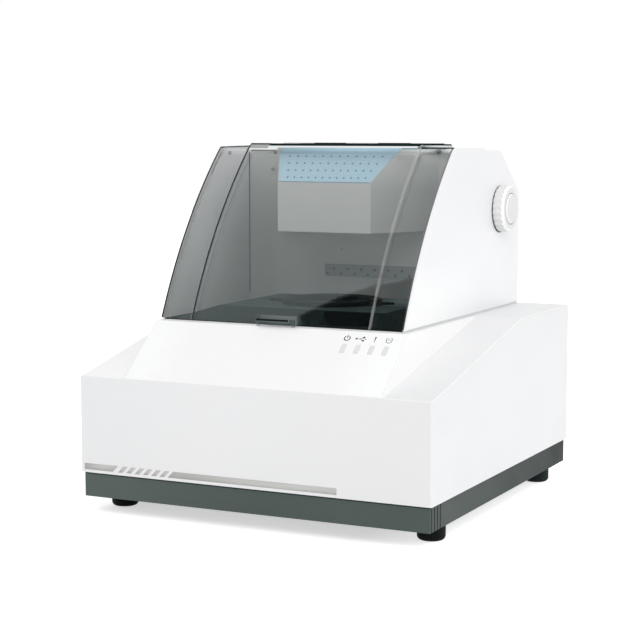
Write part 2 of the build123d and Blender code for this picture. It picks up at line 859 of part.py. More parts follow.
def make_door_hinge_leaf():
    """Moving leaf under the door's rear edge, with its knuckles."""
    top = canopy_z - leaf_drop
    leaf = span_box((-leaf_width / 2, leaf_width / 2), (door_rear_y - leaf_depth, door_rear_y), (top - leaf_thickness, top))
    web_z = (hinge_z - leaf_web_depth, hinge_z - leaf_web_depth + leaf_web_height)
    for span in knuckle_spans(False):
        leaf += span_box(span, (door_rear_y, hinge_y), web_z)
        leaf += disc_along_x(span, hinge_y, hinge_z, knuckle_diameter)
    bore = (-leaf_width / 2 - overrun, leaf_width / 2 + overrun)
    return leaf - disc_along_x(bore, hinge_y, hinge_z, hinge_pin_diameter + 2 * running_gap)


def make_door_panel():
    """Smoked door: curved front, flat top and a flange down each side."""
    foot_z = gasket_z + seat_gap
    door = canopy_band(0, glazing_thickness, door_rear_y, foot_z, (-door_half, door_half))
    for side in (-1, 1):
        x = sorted((side * door_half, side * (door_half - door_flange_thickness)))
        door += canopy_band(-door_flange_depth, running_gap, door_rear_y - door_flange_setback, foot_z, x)
    return door


def make_door_seals():
    """Pale sliding seal on the outer side of each door flange."""
    foot_z = gasket_z + seat_gap
    seals = []
    for side in (-1, 1):
        x = sorted((side * door_half, side * (door_half + door_seal_thickness)))
        seals.append(canopy_band(-door_flange_depth, glazing_thickness, door_rear_y - door_flange_setback, foot_z, x))
    return seals


def make_door_handle():
    """Clear channel grip on the door's lower edge, with its end block and two catches."""
    foot_z = gasket_z + seat_gap
    x = around(0, handle_width)
    root = canopy_point(glazing_thickness, foot_z)
    tip = canopy_point(glazing_thickness, foot_z + handle_height)
    outline = [root, tip, (tip[0] - handle_depth, tip[1]), (tip[0] - handle_depth - handle_wall, foot_z), root]
    grip = side_prism(polygon_face(outline[:4]), x)
    slot_z = around(foot_z + handle_height / 2, handle_slot_height)
    slot_y = (tip[0] - handle_depth - 2 * handle_wall - overrun, tip[0] - 2 * handle_wall)
    grip -= span_box((x[0] + handle_wall, x[1] - handle_block_width), slot_y, slot_z)
    door_skin = side_prism(canopy_face(glazing_thickness, hood_step_y, foot_z - overrun), (x[0] - overrun, x[1] + overrun))
    tab_y = (outline[3][0], outline[3][0] + handle_tab_thickness)
    for side in (-1, 1):
        tab_x = around(side * handle_tab_share * handle_width, handle_tab_width)
        grip += span_box(tab_x, tab_y, (foot_z - handle_tab_drop, foot_z + handle_wall))
    return grip - door_skin


def make_right_knob():
    """Fluted hand knob with a bevelled rim, a ring groove and a raised centre disc."""
    z = gasket_z + knob_rise
    base = hood_width / 2 + knob_gap
    face = base + knob_depth
    knob = disc_along_x((base, face), knob_y, z, knob_diameter)
    knob = chamfer(knob.edges().sort_by(Axis.X)[-1], knob_chamfer)
    for index in range(knob_flutes):
        turn = index * 2 * pi / knob_flutes
        reach = knob_diameter / 2 + knob_flute_diameter / 2 - knob_flute_depth
        knob -= disc_along_x((base - overrun, face + overrun), knob_y + reach * cos(turn), z + reach * sin(turn), knob_flute_diameter)
    groove = disc_along_x((face - knob_groove_depth, face + overrun), knob_y, z, knob_button_diameter + 2 * knob_groove_width)
    button = disc_along_x((face - knob_groove_depth - knob_button_rise, face + knob_button_rise), knob_y, z, knob_button_diameter)
    button = chamfer(button.edges().sort_by(Axis.X)[-1], knob_button_edge)
    knob = knob - groove + button
    bore = (base - overrun, base + knob_stud_reach + seat_gap)
    return knob - disc_along_x(bore, knob_y, z, knob_stud_diameter + 2 * running_gap)


def make_right_stud():
    """Stud through the cheek that carries the knob, with its nut inside."""
    z = gasket_z + knob_rise
    base = hood_width / 2 + knob_gap
    stud = disc_along_x((cheek_inner - knob_nut_height, base + knob_stud_reach), knob_y, z, knob_stud_diameter)
    return stud + disc_along_x((cheek_inner - knob_nut_height, cheek_inner), knob_y, z, knob_nut_diameter)


def stage_form(inset):
    """Low pyramid of the sample stage, flat behind, moved down by an inset."""
    base_x = hood_width / 2 - gasket_inset - gasket_width - stage_base_gap
    base_front = canopy_foot_y + gasket_inset + gasket_width + stage_base_gap
    top_x = stage_top_width / 2
    drop = inset * hypot(stage_height, base_x - top_x) / (base_x - top_x)
    faces = []
    for half_x, front, z in ((base_x, base_front, deck_z - drop), (top_x, stage_top_front_y, stage_z - drop)):
        corners = [(-half_x, front), (half_x, front), (half_x, chamber_wall_y), (-half_x, chamber_wall_y)]
        faces.append(Plane.XY.offset(z) * polygon_face(corners))
    return loft(faces, ruled=True)


def stage_slope_frame(x, share):
    """Plane on the stage's front slope at a share of the way down it, facing outwards."""
    base_front = canopy_foot_y + gasket_inset + gasket_width + stage_base_gap
    run = stage_top_front_y - base_front
    tilt = atan2(stage_height, run)
    origin = (x, stage_top_front_y - run * share, stage_z - stage_height * share)
    return Plane(origin=origin, x_dir=(1, 0, 0), z_dir=(0, -sin(tilt), cos(tilt)))


def insert_plate(grow, depth):
    """Rounded plate on the stage's front slope, grown by a gap on each side."""
    sketch = RectangleRounded(insert_width + 2 * grow, insert_length + 2 * grow, insert_corner + grow)
    return extrude(stage_slope_frame(insert_x, 0.5) * sketch, -depth)


def make_stage_deck():
    """Dark glossy stage with its bore, a pocket for the insert and rows of small holes."""
    deck = stage_form(0) - stage_form(stage_wall)
    deck -= span_box(around(0, body_width), (-body_depth, body_depth), (deck_z - body_height, deck_z))
    deck -= upright_disc(spin_x, spin_y, (deck_z - overrun, stage_z + overrun), stage_bore)
    deck -= insert_plate(running_gap, insert_thickness)
    drill = Cylinder(stage_dot_diameter / 2, 2 * stage_wall)
    columns = [stage_dot_start_x + index * stage_dot_pitch for index in range(stage_dot_columns)]
    columns += [stage_side_dot_start_x + index * stage_dot_pitch for index in range(stage_side_dot_columns)]
    holes = []
    for row in range(stage_dot_rows):
        share = (row + 1) / (stage_dot_rows + 1)
        for x in columns:
            if abs(x) < stage_top_width / 2 + share * stage_dot_pitch:
                holes.append(stage_slope_frame(x, share) * drill)
    return deck - holes


def make_back_wall():
    """White wall behind the sample stage, from cheek to cheek."""
    y = (chamber_wall_y, chamber_wall_y + chamber_wall_thickness)
    wall = span_box((-cheek_inner, cheek_inner), y, (gasket_z, header_z - seat_gap))
    inner_x = hood_width / 2 - gasket_inset - gasket_width
    wall += span_box((-inner_x, inner_x), y, (deck_z, gasket_z + overrun))
    through = (y[0] - overrun, y[1] + overrun)
    return wall - disc_along_y(wall_hole_x, through, gasket_z + wall_hole_rise, wall_hole_diameter)


def make_sample_rail():
    """Perforated strip on the back wall."""
    y = (chamber_wall_y - rail_thickness, chamber_wall_y)
    base = gasket_z + rail_rise
    rail = span_box((rail_x, rail_x + rail_length), y, (base, base + rail_height))
    through = (y[0] - overrun, y[1] + overrun)
    for inset, rise in ((rail_upper_inset, rail_upper_rise), (rail_lower_inset, rail_lower_rise)):
        for index in range(rail_hole_count):
            rail -= disc_along_y(rail_x + inset + index * rail_hole_pitch, through, base + rise, rail_hole_diameter)
    return rail


def make_cup_carrier():
    """Black ring with two pointed ears, which frames the turntable."""
    z = (stage_z, carrier_z)
    ring = upright_disc(spin_x, spin_y, z, carrier_diameter)
    ring = fillet(ring.edges().sort_by(Axis.Z)[-1], carrier_edge)
    inner = carrier_diameter / 2 - carrier_ear_tip
    half_root = carrier_ear_root / 2
    half_tip = carrier_ear_tip / 2
    outline = [(inner, -half_root), (carrier_ear_reach - half_tip, -half_tip), (carrier_ear_reach, 0)]
    outline += [(carrier_ear_reach - half_tip, half_tip), (inner, half_root)]
    for side in (0, 180):
        turn = Pos(spin_x, spin_y, stage_z) * Rot(0, 0, carrier_ear_angle + side)
        ring += turn * extrude(polygon_face(outline), carrier_height / 2)
    bore = turntable_diameter + 2 * turntable_side_gap
    return ring - upright_disc(spin_x, spin_y, (z[0] - overrun, z[1] + overrun), bore)


def make_roller_cover():
    """Small black block at the carrier's right rim."""
    z = (stage_z, stage_z + lug_height)
    block = span_box(around(lug_x, lug_width), around(lug_y, lug_depth), z)
    block = fillet(block.edges().filter_by(Axis.Z), carrier_edge)
    return block - upright_disc(spin_x, spin_y, (z[0] - overrun, z[1] + overrun), carrier_diameter + 2 * running_gap)


def make_turntable():
    """Turning ring with its hollow hub, which runs in the bearing."""
    flange_z = (carrier_z - turntable_flange, carrier_z)
    table = upright_disc(spin_x, spin_y, flange_z, turntable_diameter)
    table += upright_disc(spin_x, spin_y, (bearing_top_z + seat_gap, flange_z[1]), collar_diameter)
    table += upright_disc(spin_x, spin_y, (hub_base_z, flange_z[1]), journal_diameter)
    table -= upright_disc(spin_x, spin_y, (hub_base_z - overrun, carrier_z + overrun), hub_bore)
    rim_z = (carrier_z - cup_rim_height, carrier_z + overrun)
    return table - upright_disc(spin_x, spin_y, rim_z, cup_rim_diameter + 2 * cup_side_gap)


def make_turntable_pulley():
    """Flanged belt pulley on the turntable's hub."""
    z = (hub_base_z, hub_base_z + pulley_width)
    pulley = upright_disc(spin_x, spin_y, z, pulley_diameter)
    rim = pulley_diameter + 2 * pulley_flange
    for low in (z[0], z[1] - pulley_flange_height):
        pulley += upright_disc(spin_x, spin_y, (low, low + pulley_flange_height), rim)
    return pulley - upright_disc(spin_x, spin_y, (z[0] - overrun, z[1] + overrun), journal_diameter + 2 * running_gap)


def cup_inner_diameter():
    """Inner diameter of the sample cup."""
    return hub_bore - 2 * cup_side_gap - 2 * cup_wall


def make_sample_cup():
    """Cup with a flat rim that drops into the turntable, open above a window seat."""
    outer = hub_bore - 2 * cup_side_gap
    cup = upright_disc(spin_x, spin_y, (cup_base_z, carrier_z), outer)
    cup += upright_disc(spin_x, spin_y, (carrier_z - cup_rim_height + running_gap, carrier_z), cup_rim_diameter)
    cup -= upright_disc(spin_x, spin_y, (cup_base_z + cup_floor, carrier_z + overrun), cup_inner_diameter())
    window = cup_inner_diameter() - 2 * cup_window_lap
    cup -= upright_disc(spin_x, spin_y, (cup_base_z - overrun, carrier_z), window)
    ring = (cup_inner_diameter() + cup_rim_diameter) / 2
    groove_z = (carrier_z - cup_ring_groove / 2, carrier_z + overrun)
    groove = upright_disc(spin_x, spin_y, groove_z, ring + cup_ring_groove)
    return cup - (groove - upright_disc(spin_x, spin_y, groove_z, ring - cup_ring_groove))


def make_cup_window():
    """Glass disc on the cup's window seat."""
    z = (cup_base_z + cup_floor, cup_base_z + cup_floor + cup_window_thickness)
    return upright_disc(spin_x, spin_y, z, cup_inner_diameter() - 2 * running_gap)


def make_turntable_bearing():
    """Bearing ring with a visible race groove on its upper face."""
    z = (bearing_z, bearing_top_z)
    ring = upright_disc(spin_x, spin_y, z, bearing_outer)
    ring -= upright_disc(spin_x, spin_y, (z[0] - overrun, z[1] + overrun), journal_diameter + 2 * running_gap)
    middle = (bearing_outer + journal_diameter) / 2
    groove_z = (bearing_top_z - bearing_groove, bearing_top_z + overrun)
    groove = upright_disc(spin_x, spin_y, groove_z, middle + bearing_race / 2)
    return ring - (groove - upright_disc(spin_x, spin_y, groove_z, middle - bearing_race / 2))


def make_bearing_housing():
    """Flanged cup under the deck that holds the bearing."""
    plate_z = (bearing_top_z, deck_underside_z)
    cup_outer = bearing_outer + 2 * bearing_cup_wall
    housing = upright_disc(spin_x, spin_y, plate_z, bearing_plate_diameter)
    housing += upright_disc(spin_x, spin_y, (bearing_z, plate_z[1]), cup_outer)
    housing -= upright_disc(spin_x, spin_y, (bearing_z - overrun, bearing_top_z), bearing_outer + 2 * running_gap)
    bore = collar_diameter + 2 * turntable_side_gap
    housing -= upright_disc(spin_x, spin_y, (bearing_top_z - overrun, plate_z[1] + overrun), bore)
    ring = (cup_outer + bearing_plate_diameter) / 4
    for index in range(bearing_screw_count):
        turn = index * 2 * pi / bearing_screw_count
        place = (spin_x + ring * cos(turn), spin_y + ring * sin(turn))
        housing -= upright_disc(*place, (plate_z[0] - overrun, plate_z[1] + overrun), case_screw_shank)
    return housing


def make_motor_pulley():
    """Small belt pulley with its shaft, in line with the turntable pulley."""
    z = (hub_base_z, hub_base_z + pulley_width)
    pulley = upright_disc(motor_x, spin_y, z, motor_pulley_diameter)
    rim = motor_pulley_diameter + 2 * pulley_flange
    for low in (z[0], z[1] - pulley_flange_height):
        pulley += upright_disc(motor_x, spin_y, (low, low + pulley_flange_height), rim)
    shaft_base = z[0] - motor_pulley_gap - motor_shaft_bore_depth
    return pulley + upright_disc(motor_x, spin_y, (shaft_base, z[1] + overrun), motor_shaft_diameter)


def make_drive_motor():
    """Upright gear motor on the optical bench's lid."""
    top = hub_base_z - motor_pulley_gap
    motor = upright_disc(motor_x, spin_y, (bench_top_z, top), motor_diameter)
    flange_x = around(motor_x, motor_flange_width)
    flange_z = (bench_top_z, bench_top_z + motor_flange_thickness)
    motor += span_box(flange_x, around(spin_y, motor_flange_width), flange_z)
    bore_z = (top - motor_shaft_bore_depth - seat_gap, top + overrun)
    return motor - upright_disc(motor_x, spin_y, bore_z, motor_shaft_diameter + 2 * running_gap)


def belt_loop(grow):
    """Face around both pulleys, grown by a distance: two circles and their outer tangents."""
    large = pulley_diameter / 2 + seat_gap + grow
    small = motor_pulley_diameter / 2 + seat_gap + grow
    distance = spin_x - motor_x
    lean = (large - small) / distance
    up = sqrt(1 - lean ** 2)
    corners = []
    for side in (1, -1):
        near = (motor_x - small * lean, spin_y + side * small * up)
        far = (spin_x - large * lean, spin_y + side * large * up)
        corners += [near, far] if side == 1 else [far, near]
    face = polygon_face(corners)
    face += Pos(spin_x, spin_y) * Circle(large)
    return face + Pos(motor_x, spin_y) * Circle(small)


def make_drive_belt():
    """Flat belt that runs just clear of both pulleys."""
    base = hub_base_z + (pulley_width - belt_width) / 2
    outer = extrude(Plane.XY.offset(base) * belt_loop(belt_thickness), belt_width)
    return outer - extrude(Plane.XY.offset(base - overrun) * belt_loop(0), belt_width + 2 * overrun)


def make_lamp_housing():
    """Ventilated lamp house on the optical bench, open above."""
    z = (bench_top_z, lamp_top_z)
    house = span_box(around(spin_x, lamp_house_width), around(spin_y, lamp_house_width), z)
    inner = lamp_house_width - 2 * lamp_house_wall
    house -= span_box(around(spin_x, inner), around(spin_y, inner), (z[0] + lamp_house_wall, z[1] + overrun))
    for index in range(lamp_house_slots):
        offset_x = (index - (lamp_house_slots - 1) / 2) * 2 * lamp_house_slot_width
        slot_z = around((z[0] + z[1]) / 2, lamp_house_slot_height)
        house -= span_box(around(spin_x + offset_x, lamp_house_slot_width), around(spin_y, 2 * lamp_house_width), slot_z)
    return house


def make_lamp_bulb():
    """Halogen bulb on its socket."""
    base = bench_top_z + lamp_house_wall
    top = base + lamp_socket_height + lamp_bulb_length
    bulb = upright_disc(spin_x, spin_y, (base, base + lamp_socket_height), lamp_socket_diameter)
    bulb += upright_disc(spin_x, spin_y, (base + lamp_socket_height - overrun, top), lamp_bulb_diameter)
    return bulb + Pos(spin_x, spin_y, top) * Sphere(lamp_bulb_diameter / 2)


def make_window_mount():
    """Light tube on the lamp house, with seats for the lens and the window."""
    top = cup_base_z - window_under_cup
    tube = upright_disc(spin_x, spin_y, (lamp_top_z, top), window_tube_diameter)
    flange_z = (lamp_top_z, lamp_top_z + window_flange_thickness)
    tube += span_box(around(spin_x, lamp_house_width), around(spin_y, lamp_house_width), flange_z)
    through = (lamp_top_z - overrun, top + overrun)
    tube -= upright_disc(spin_x, spin_y, through, lens_diameter - 2 * lens_lap)
    lens_z = (lamp_top_z - overrun, lamp_top_z + lens_edge)
    tube -= upright_disc(spin_x, spin_y, lens_z, lens_diameter + 2 * running_gap)
    glass = window_tube_diameter - window_tube_wall
    return tube - upright_disc(spin_x, spin_y, (top - window_glass_thickness, top + overrun), glass + 2 * running_gap)


def make_measuring_window():
    """Glass disc at the top of the light tube."""
    top = cup_base_z - window_under_cup
    return upright_disc(spin_x, spin_y, (top - window_glass_thickness, top), window_tube_diameter - window_tube_wall)


def make_condenser_lens():
    """Lens with a flat lower side and a crowned upper side."""
    rim = lens_diameter / 2
    crown = rim - lens_lap - running_gap
    radius = (crown ** 2 + lens_crown ** 2) / (2 * lens_crown)
    lens = upright_disc(spin_x, spin_y, (lamp_top_z, lamp_top_z + lens_edge), lens_diameter)
    ball = Pos(spin_x, spin_y, lamp_top_z + lens_edge + lens_crown - radius) * Sphere(radius)
    cap_z = (lamp_top_z + lens_edge, lamp_top_z + lens_edge + lens_crown + overrun)
    return lens + (ball & upright_disc(spin_x, spin_y, cap_z, lens_diameter))


def make_spectrometer_box():
    """Closed optical bench casting on the tray floor."""
    x = (bench_x, bench_x + bench_width)
    y = (bench_y, bench_y + bench_depth)
    z = (tray_floor_z, bench_top_z)
    box = span_box(x, y, z)
    box = fillet(box.edges().filter_by(Axis.Z), bench_wall)
    inner_x = (x[0] + bench_wall, x[1] - bench_wall)
    inner_y = (y[0] + bench_wall, y[1] - bench_wall)
    box -= span_box(inner_x, inner_y, (z[0] + bench_wall, z[1] - bench_wall))
    slit_y = around(bench_mid_y, bench_window)
    return box - span_box((x[1] - 2 * bench_wall, x[1] + overrun), slit_y, around((z[0] + z[1]) / 2, bench_window / 2))


def bench_floor_z():
    """Height of the optical bench's inner floor."""
    return tray_floor_z + bench_wall


def make_fold_mirror():
    """Tilted mirror on its block."""
    base = bench_floor_z()
    block = span_box(around(spin_x, mirror_mount_width), around(spin_y, mirror_mount_width), (base, base + mirror_mount_height))
    plate = Box(mirror_width, mirror_width, mirror_thickness)
    rise = mirror_mount_height + mirror_width / 2 * sin(mirror_angle * pi / 180)
    return block + Pos(spin_x, spin_y, base + rise) * Rot(mirror_angle, 0, 0) * plate


def make_grating():
    """Ruled grating block on a round base."""
    base = bench_floor_z()
    mount = upright_disc(grating_x, bench_mid_y, (base, base + grating_base_height), grating_base_diameter)
    block = Box(grating_width, grating_thickness, grating_height, align=(Align.CENTER, Align.CENTER, Align.MIN))
    pitch = grating_width / (grating_groove_count + 1)
    for index in range(grating_groove_count):
        x = (index - (grating_groove_count - 1) / 2) * pitch
        block -= Pos(x, -grating_thickness / 2, grating_height / 2) * Box(pitch / 2, 2 * grating_groove_depth, grating_height)
    return mount + Pos(grating_x, bench_mid_y, base + grating_base_height) * Rot(0, 0, grating_angle) * block


def make_detector_module():
    """Cooled detector block with fins on its back."""
    base = bench_floor_z()
    block = span_box(around(detector_x, detector_width), around(bench_mid_y, detector_depth), (base, base + detector_height))
    pitch = detector_width / detector_fin_count
    for index in range(detector_fin_count):
        x = detector_x + (index - (detector_fin_count - 1) / 2) * pitch
        fin_y = (bench_mid_y + detector_depth / 2 - overrun, bench_mid_y + detector_depth / 2 + detector_fin_depth)
        block += span_box(around(x, pitch / 2), fin_y, (base, base + detector_height))
    port = disc_along_y(detector_x, (bench_mid_y - detector_depth, bench_mid_y - detector_depth / 4), base + detector_height / 2, detector_width / 3)
    return block - port


def make_main_board():
    """Circuit board on standoffs, with chips and connectors."""
    x = (board_x, board_x + board_width)
    y = (board_y, board_y + board_length)
    base = tray_floor_z + board_standoff
    top = base + board_thickness
    board = span_box(x, y, (base, top))
    for foot_x in (x[0] + board_corner_inset, x[1] - board_corner_inset):
        for foot_y in (y[0] + board_corner_inset, y[1] - board_corner_inset):
            board += upright_disc(foot_x, foot_y, (tray_floor_z, base), board_standoff_diameter)
    step = board_length / (chip_count + 2)
    for index in range(chip_count):
        chip_y = y[0] + (index + 1) * step
        board += span_box(around(x[0] + board_width / 2, chip_width), around(chip_y, chip_width), (top, top + chip_height))
    plug_y = around(y[1] - step, connector_width)
    return board + span_box(around(x[0] + board_width / 2, connector_width), plug_y, (top, top + connector_height))


def make_power_supply():
    """Vented power supply case on the tray floor."""
    x = (supply_x, supply_x + supply_width)
    y = (supply_y, supply_y + supply_depth)
    z = (tray_floor_z, tray_floor_z + supply_height)
    case = span_box(x, y, z)
    case = fillet(case.edges().filter_by(Axis.Z), plinth_wall)
    inner = plinth_wall
    case -= span_box((x[0] + inner, x[1] - inner), (y[0] + inner, y[1] - inner), (z[0] + inner, z[1] - inner))
    pitch = supply_depth / (supply_slots + 1)
    for index in range(supply_slots):
        slot_y = around(y[0] + (index + 1) * pitch, supply_slot_width)
        case -= span_box(around((x[0] + x[1]) / 2, supply_slot_length), slot_y, (z[1] - 2 * inner, z[1] + overrun))
    return case


def head_plan(inset):
    """Plan corners of the head: narrow in front, wide at the back wall."""
    lean = atan2((head_rear_width - head_front_width) / 2, chamber_wall_y - head_front_y)
    side = inset / cos(lean)
    front = head_front_width / 2 - side + inset * tan(lean)
    rear = head_rear_width / 2 - side
    return [(-front, head_front_y + inset), (front, head_front_y + inset), (rear, chamber_wall_y), (-rear, chamber_wall_y)]


def head_side(drop, back_y):
    """Side outline of the head with its sloped front corner, moved down by a drop."""
    top = head_z + head_face_height + head_chamfer_rise
    shift = drop * hypot(head_chamfer_run, head_chamfer_rise) / head_chamfer_run
    far_front = head_front_y - overrun
    slope = head_chamfer_rise / head_chamfer_run
    start = head_z + head_face_height - shift
    points = [(far_front, head_z + drop), (far_front, start - overrun * slope)]
    points += [(head_front_y + (top - drop - start) / slope, top - drop), (back_y, top - drop), (back_y, head_z + drop)]
    return points


def head_form(inset):
    """Head block: the flared plan cut by the side outline, moved inwards by an inset."""
    tall = extrude(Plane.XY * polygon_face(head_plan(inset)), canopy_z)
    side = side_prism(polygon_face(head_side(inset, chamber_wall_y)), around(0, 2 * head_rear_width))
    return tall & side


def make_head_cover():
    """White flared cover of the upper optics, open at the wall, with a window below."""
    cover = head_form(0) - head_form(head_wall)
    cover -= head_panel_form()
    below = (head_z - overrun, head_z + head_wall + overrun)
    return cover - upright_disc(spin_x, spin_y, below, head_window_diameter)


def head_panel_form():
    """Skin of the head's sloped front corner."""
    slope = atan2(head_chamfer_rise, head_chamfer_run)
    length = hypot(head_chamfer_rise, head_chamfer_run)
    origin = (0, head_front_y, head_z + head_face_height)
    plane = Plane(origin=origin, x_dir=(1, 0, 0), z_dir=(0, -sin(slope), cos(slope)))
    start = head_panel_lip
    spread = (head_rear_width - head_front_width) / 2 / (chamber_wall_y - head_front_y)
    corners = []
    for rise, side in ((start, -1), (start, 1), (length - start, 1), (length - start, -1)):
        half = head_front_width / 2 + spread * rise * cos(slope) - head_panel_lip
        corners.append((side * half, rise))
    return extrude(plane * polygon_face(corners), -head_panel_thickness)


def make_head_panel():
    """Blue sloped plate with rows of dots that fan out towards the top."""
    slope = atan2(head_chamfer_rise, head_chamfer_run)
    length = hypot(head_chamfer_rise, head_chamfer_run)
    spread = (head_rear_width - head_front_width) / 2 / (chamber_wall_y - head_front_y)
    panel = head_panel_form()
    drill = Cylinder(head_dot_diameter / 2, 4 * head_panel_thickness)
    dots = []
    for row in range(head_dot_rows):
        rise = length * (head_dot_first_share + row * head_dot_pitch_share)
        half = (head_front_width / 2 + spread * rise * cos(slope)) * head_dot_spread_share
        place_y = head_front_y + rise * cos(slope)
        place_z = head_z + head_face_height + rise * sin(slope)
        for column in range(head_dot_columns):
            x = half * (2 * column / (head_dot_columns - 1) - 1)
            plane = Plane(origin=(x, place_y, place_z), x_dir=(1, 0, 0), z_dir=(0, -sin(slope), cos(slope)))
            dots.append(plane * drill)
    return panel - dots


def make_head_detector():
    """Receiver behind the head's lower window."""
    base = head_z + head_wall
    body = upright_disc(spin_x, spin_y, (base, base + sensor_height), sensor_diameter)
    lip = upright_disc(spin_x, spin_y, (head_z, base + overrun), head_window_diameter - 2 * seat_gap)
    return body + lip


def make_parts():
    """Every node of the object with its solids."""
    cheek = make_right_cheek()
    strip = make_right_strip()
    knob = make_right_knob()
    stud = make_right_stud()
    pin_x = (-leaf_width / 2, leaf_width / 2)
    return {
        "plinth_tray": make_plinth_tray(),
        "rubber_feet": make_rubber_feet(),
        "foot_screws": make_foot_screws(),
        "lower_housing": make_lower_housing(),
        "status_lights": light_bars(0, light_depth),
        "rear_panel": make_rear_panel(),
        "case_screws": make_case_screws(),
        "power_inlet": make_power_inlet(),
        "inlet_pins": make_inlet_pins(),
        "rocker_bezel": make_rocker_bezel(),
        "power_rocker": make_power_rocker(),
        "data_port": make_data_port(),
        "fan_frame": make_fan_frame(),
        "fan_rotor": make_fan_rotor(),
        "right_cheek": cheek,
        "left_cheek": mirrored(cheek),
        "rear_cover": make_rear_cover(),
        "hood_gasket": make_hood_gasket(),
        "right_canopy_strip": strip,
        "left_canopy_strip": mirrored(strip),
        "header_bar": make_header_bar(),
        "hinge_base": make_hinge_base(),
        "hinge_pin": disc_along_x(pin_x, hinge_y, hinge_z, hinge_pin_diameter),
        "door_panel": make_door_panel(),
        "door_seals": make_door_seals(),
        "door_handle": make_door_handle(),
        "door_hinge_leaf": make_door_hinge_leaf(),
        "right_knob": knob,
        "left_knob": mirrored(knob),
        "knob_studs": [stud, mirrored(stud)],
        "stage_deck": make_stage_deck(),
        "slope_insert": insert_plate(0, insert_thickness),
        "back_wall": make_back_wall(),
        "sample_rail": make_sample_rail(),
        "cup_carrier": make_cup_carrier(),
        "roller_cover": make_roller_cover(),
        "turntable": make_turntable(),
        "turntable_pulley": make_turntable_pulley(),
        "sample_cup": make_sample_cup(),
        "cup_window": make_cup_window(),
        "turntable_bearing": make_turntable_bearing(),
        "bearing_housing": make_bearing_housing(),
        "motor_pulley": make_motor_pulley(),
        "drive_motor": make_drive_motor(),
        "drive_belt": make_drive_belt(),
        "lamp_housing": make_lamp_housing(),
        "lamp_bulb": make_lamp_bulb(),
        "condenser_lens": make_condenser_lens(),
        "window_mount": make_window_mount(),
        "measuring_window": make_measuring_window(),
        "spectrometer_box": make_spectrometer_box(),
        "fold_mirror": make_fold_mirror(),
        "grating": make_grating(),
        "detector_module": make_detector_module(),
        "main_board": make_main_board(),
        "power_supply": make_power_supply(),
        "head_cover": make_head_cover(),
        "head_panel": make_head_panel(),
        "head_detector": make_head_detector(),
    }


def main():
    """Writes one STEP file per node."""
    os.makedirs("parts", exist_ok=True)
    for name, shape in make_parts().items():
        solids = []
        for piece in shape if isinstance(shape, list) else [shape]:
            solids += piece.solids()
        body = solids[0] if len(solids) == 1 else Compound(children=solids)
        export_step(body, f"parts/{name}.step")
        print(name, len(solids))


main()
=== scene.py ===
import logging
import math
from dataclasses import dataclass, field
from enum import Enum

import bmesh
import bpy
import numpy as np
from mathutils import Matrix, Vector


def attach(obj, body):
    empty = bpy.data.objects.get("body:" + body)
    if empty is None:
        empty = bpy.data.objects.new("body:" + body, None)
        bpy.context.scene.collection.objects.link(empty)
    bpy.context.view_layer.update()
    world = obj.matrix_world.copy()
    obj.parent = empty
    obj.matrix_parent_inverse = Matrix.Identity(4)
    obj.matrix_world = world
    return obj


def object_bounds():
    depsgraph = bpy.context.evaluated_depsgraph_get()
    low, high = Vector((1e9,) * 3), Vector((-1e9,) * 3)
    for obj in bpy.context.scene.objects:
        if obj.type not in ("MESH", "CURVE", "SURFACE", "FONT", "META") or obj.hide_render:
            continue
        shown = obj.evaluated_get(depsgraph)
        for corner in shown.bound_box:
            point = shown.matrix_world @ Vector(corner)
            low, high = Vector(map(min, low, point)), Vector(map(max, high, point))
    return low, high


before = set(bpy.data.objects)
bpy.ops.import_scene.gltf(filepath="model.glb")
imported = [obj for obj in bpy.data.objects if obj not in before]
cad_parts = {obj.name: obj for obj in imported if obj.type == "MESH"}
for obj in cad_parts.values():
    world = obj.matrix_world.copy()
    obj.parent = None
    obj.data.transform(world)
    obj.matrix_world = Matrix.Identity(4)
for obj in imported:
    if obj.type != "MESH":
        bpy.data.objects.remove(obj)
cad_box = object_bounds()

log = logging.getLogger("analyser")
Pair = tuple[float, float]
Vec3 = tuple[float, float, float]
Socket = bpy.types.NodeSocket
Outputs = bpy.types.bpy_prop_collection
Material = bpy.types.Material
MM = 0.001
RIGHT, LEFT, BACK, UP = (1.0, 0.0, 0.0), (-1.0, 0.0, 0.0), (0.0, 1.0, 0.0), (0.0, 0.0, 1.0)
BLACK, WHITE = (0.0, 0.0, 0.0, 1.0), (1.0, 1.0, 1.0, 1.0)
PAINT_DUST, PLASTIC_DUST, SHEET_DUST = (196, 192, 184), (150, 148, 142), (200, 200, 196)
NOISE = (0.3, 0.7)
GLASS_IOR = 1.5
DARKER = 0.88
SEEN = ("Camera", "Glossy", "Transmission")
PASSING = ("Shadow", "Diffuse")
SMOOTH_BELOW = math.radians(35)


def linear(colour: Vec3, share: float = 1.0) -> tuple[float, float, float, float]:
    """Turns a colour from the 0 to 255 display scale into scene-linear values.

    Args:
        colour: Red, green and blue, 0 to 255.
        share: Darkens the display colour by this factor.

    Returns:
        The linear colour with full opacity.
    """
    shown = np.array(colour) * share / 255.0
    value = np.where(shown <= 0.04045, shown / 12.92, ((shown + 0.055) / 1.055) ** 2.4)
    return (float(value[0]), float(value[1]), float(value[2]), 1.0)


def arc(middle: Pair, radius: float, start: float, end: float, steps: int) -> np.ndarray:
    """Points on a circle from a start to an end angle, in degrees."""
    turn = np.radians(np.linspace(start, end, steps))
    return np.stack([middle[0] + radius * np.cos(turn), middle[1] + radius * np.sin(turn)], axis=1)


def turn_outwards(mesh: bpy.types.Mesh) -> None:
    """Makes every face of a closed mesh point outwards.

    Args:
        mesh: A closed mesh, changed in place.
    """
    form = bmesh.new()
    form.from_mesh(mesh)
    bmesh.ops.recalc_face_normals(form, faces=form.faces)
    form.to_mesh(mesh)
    form.free()


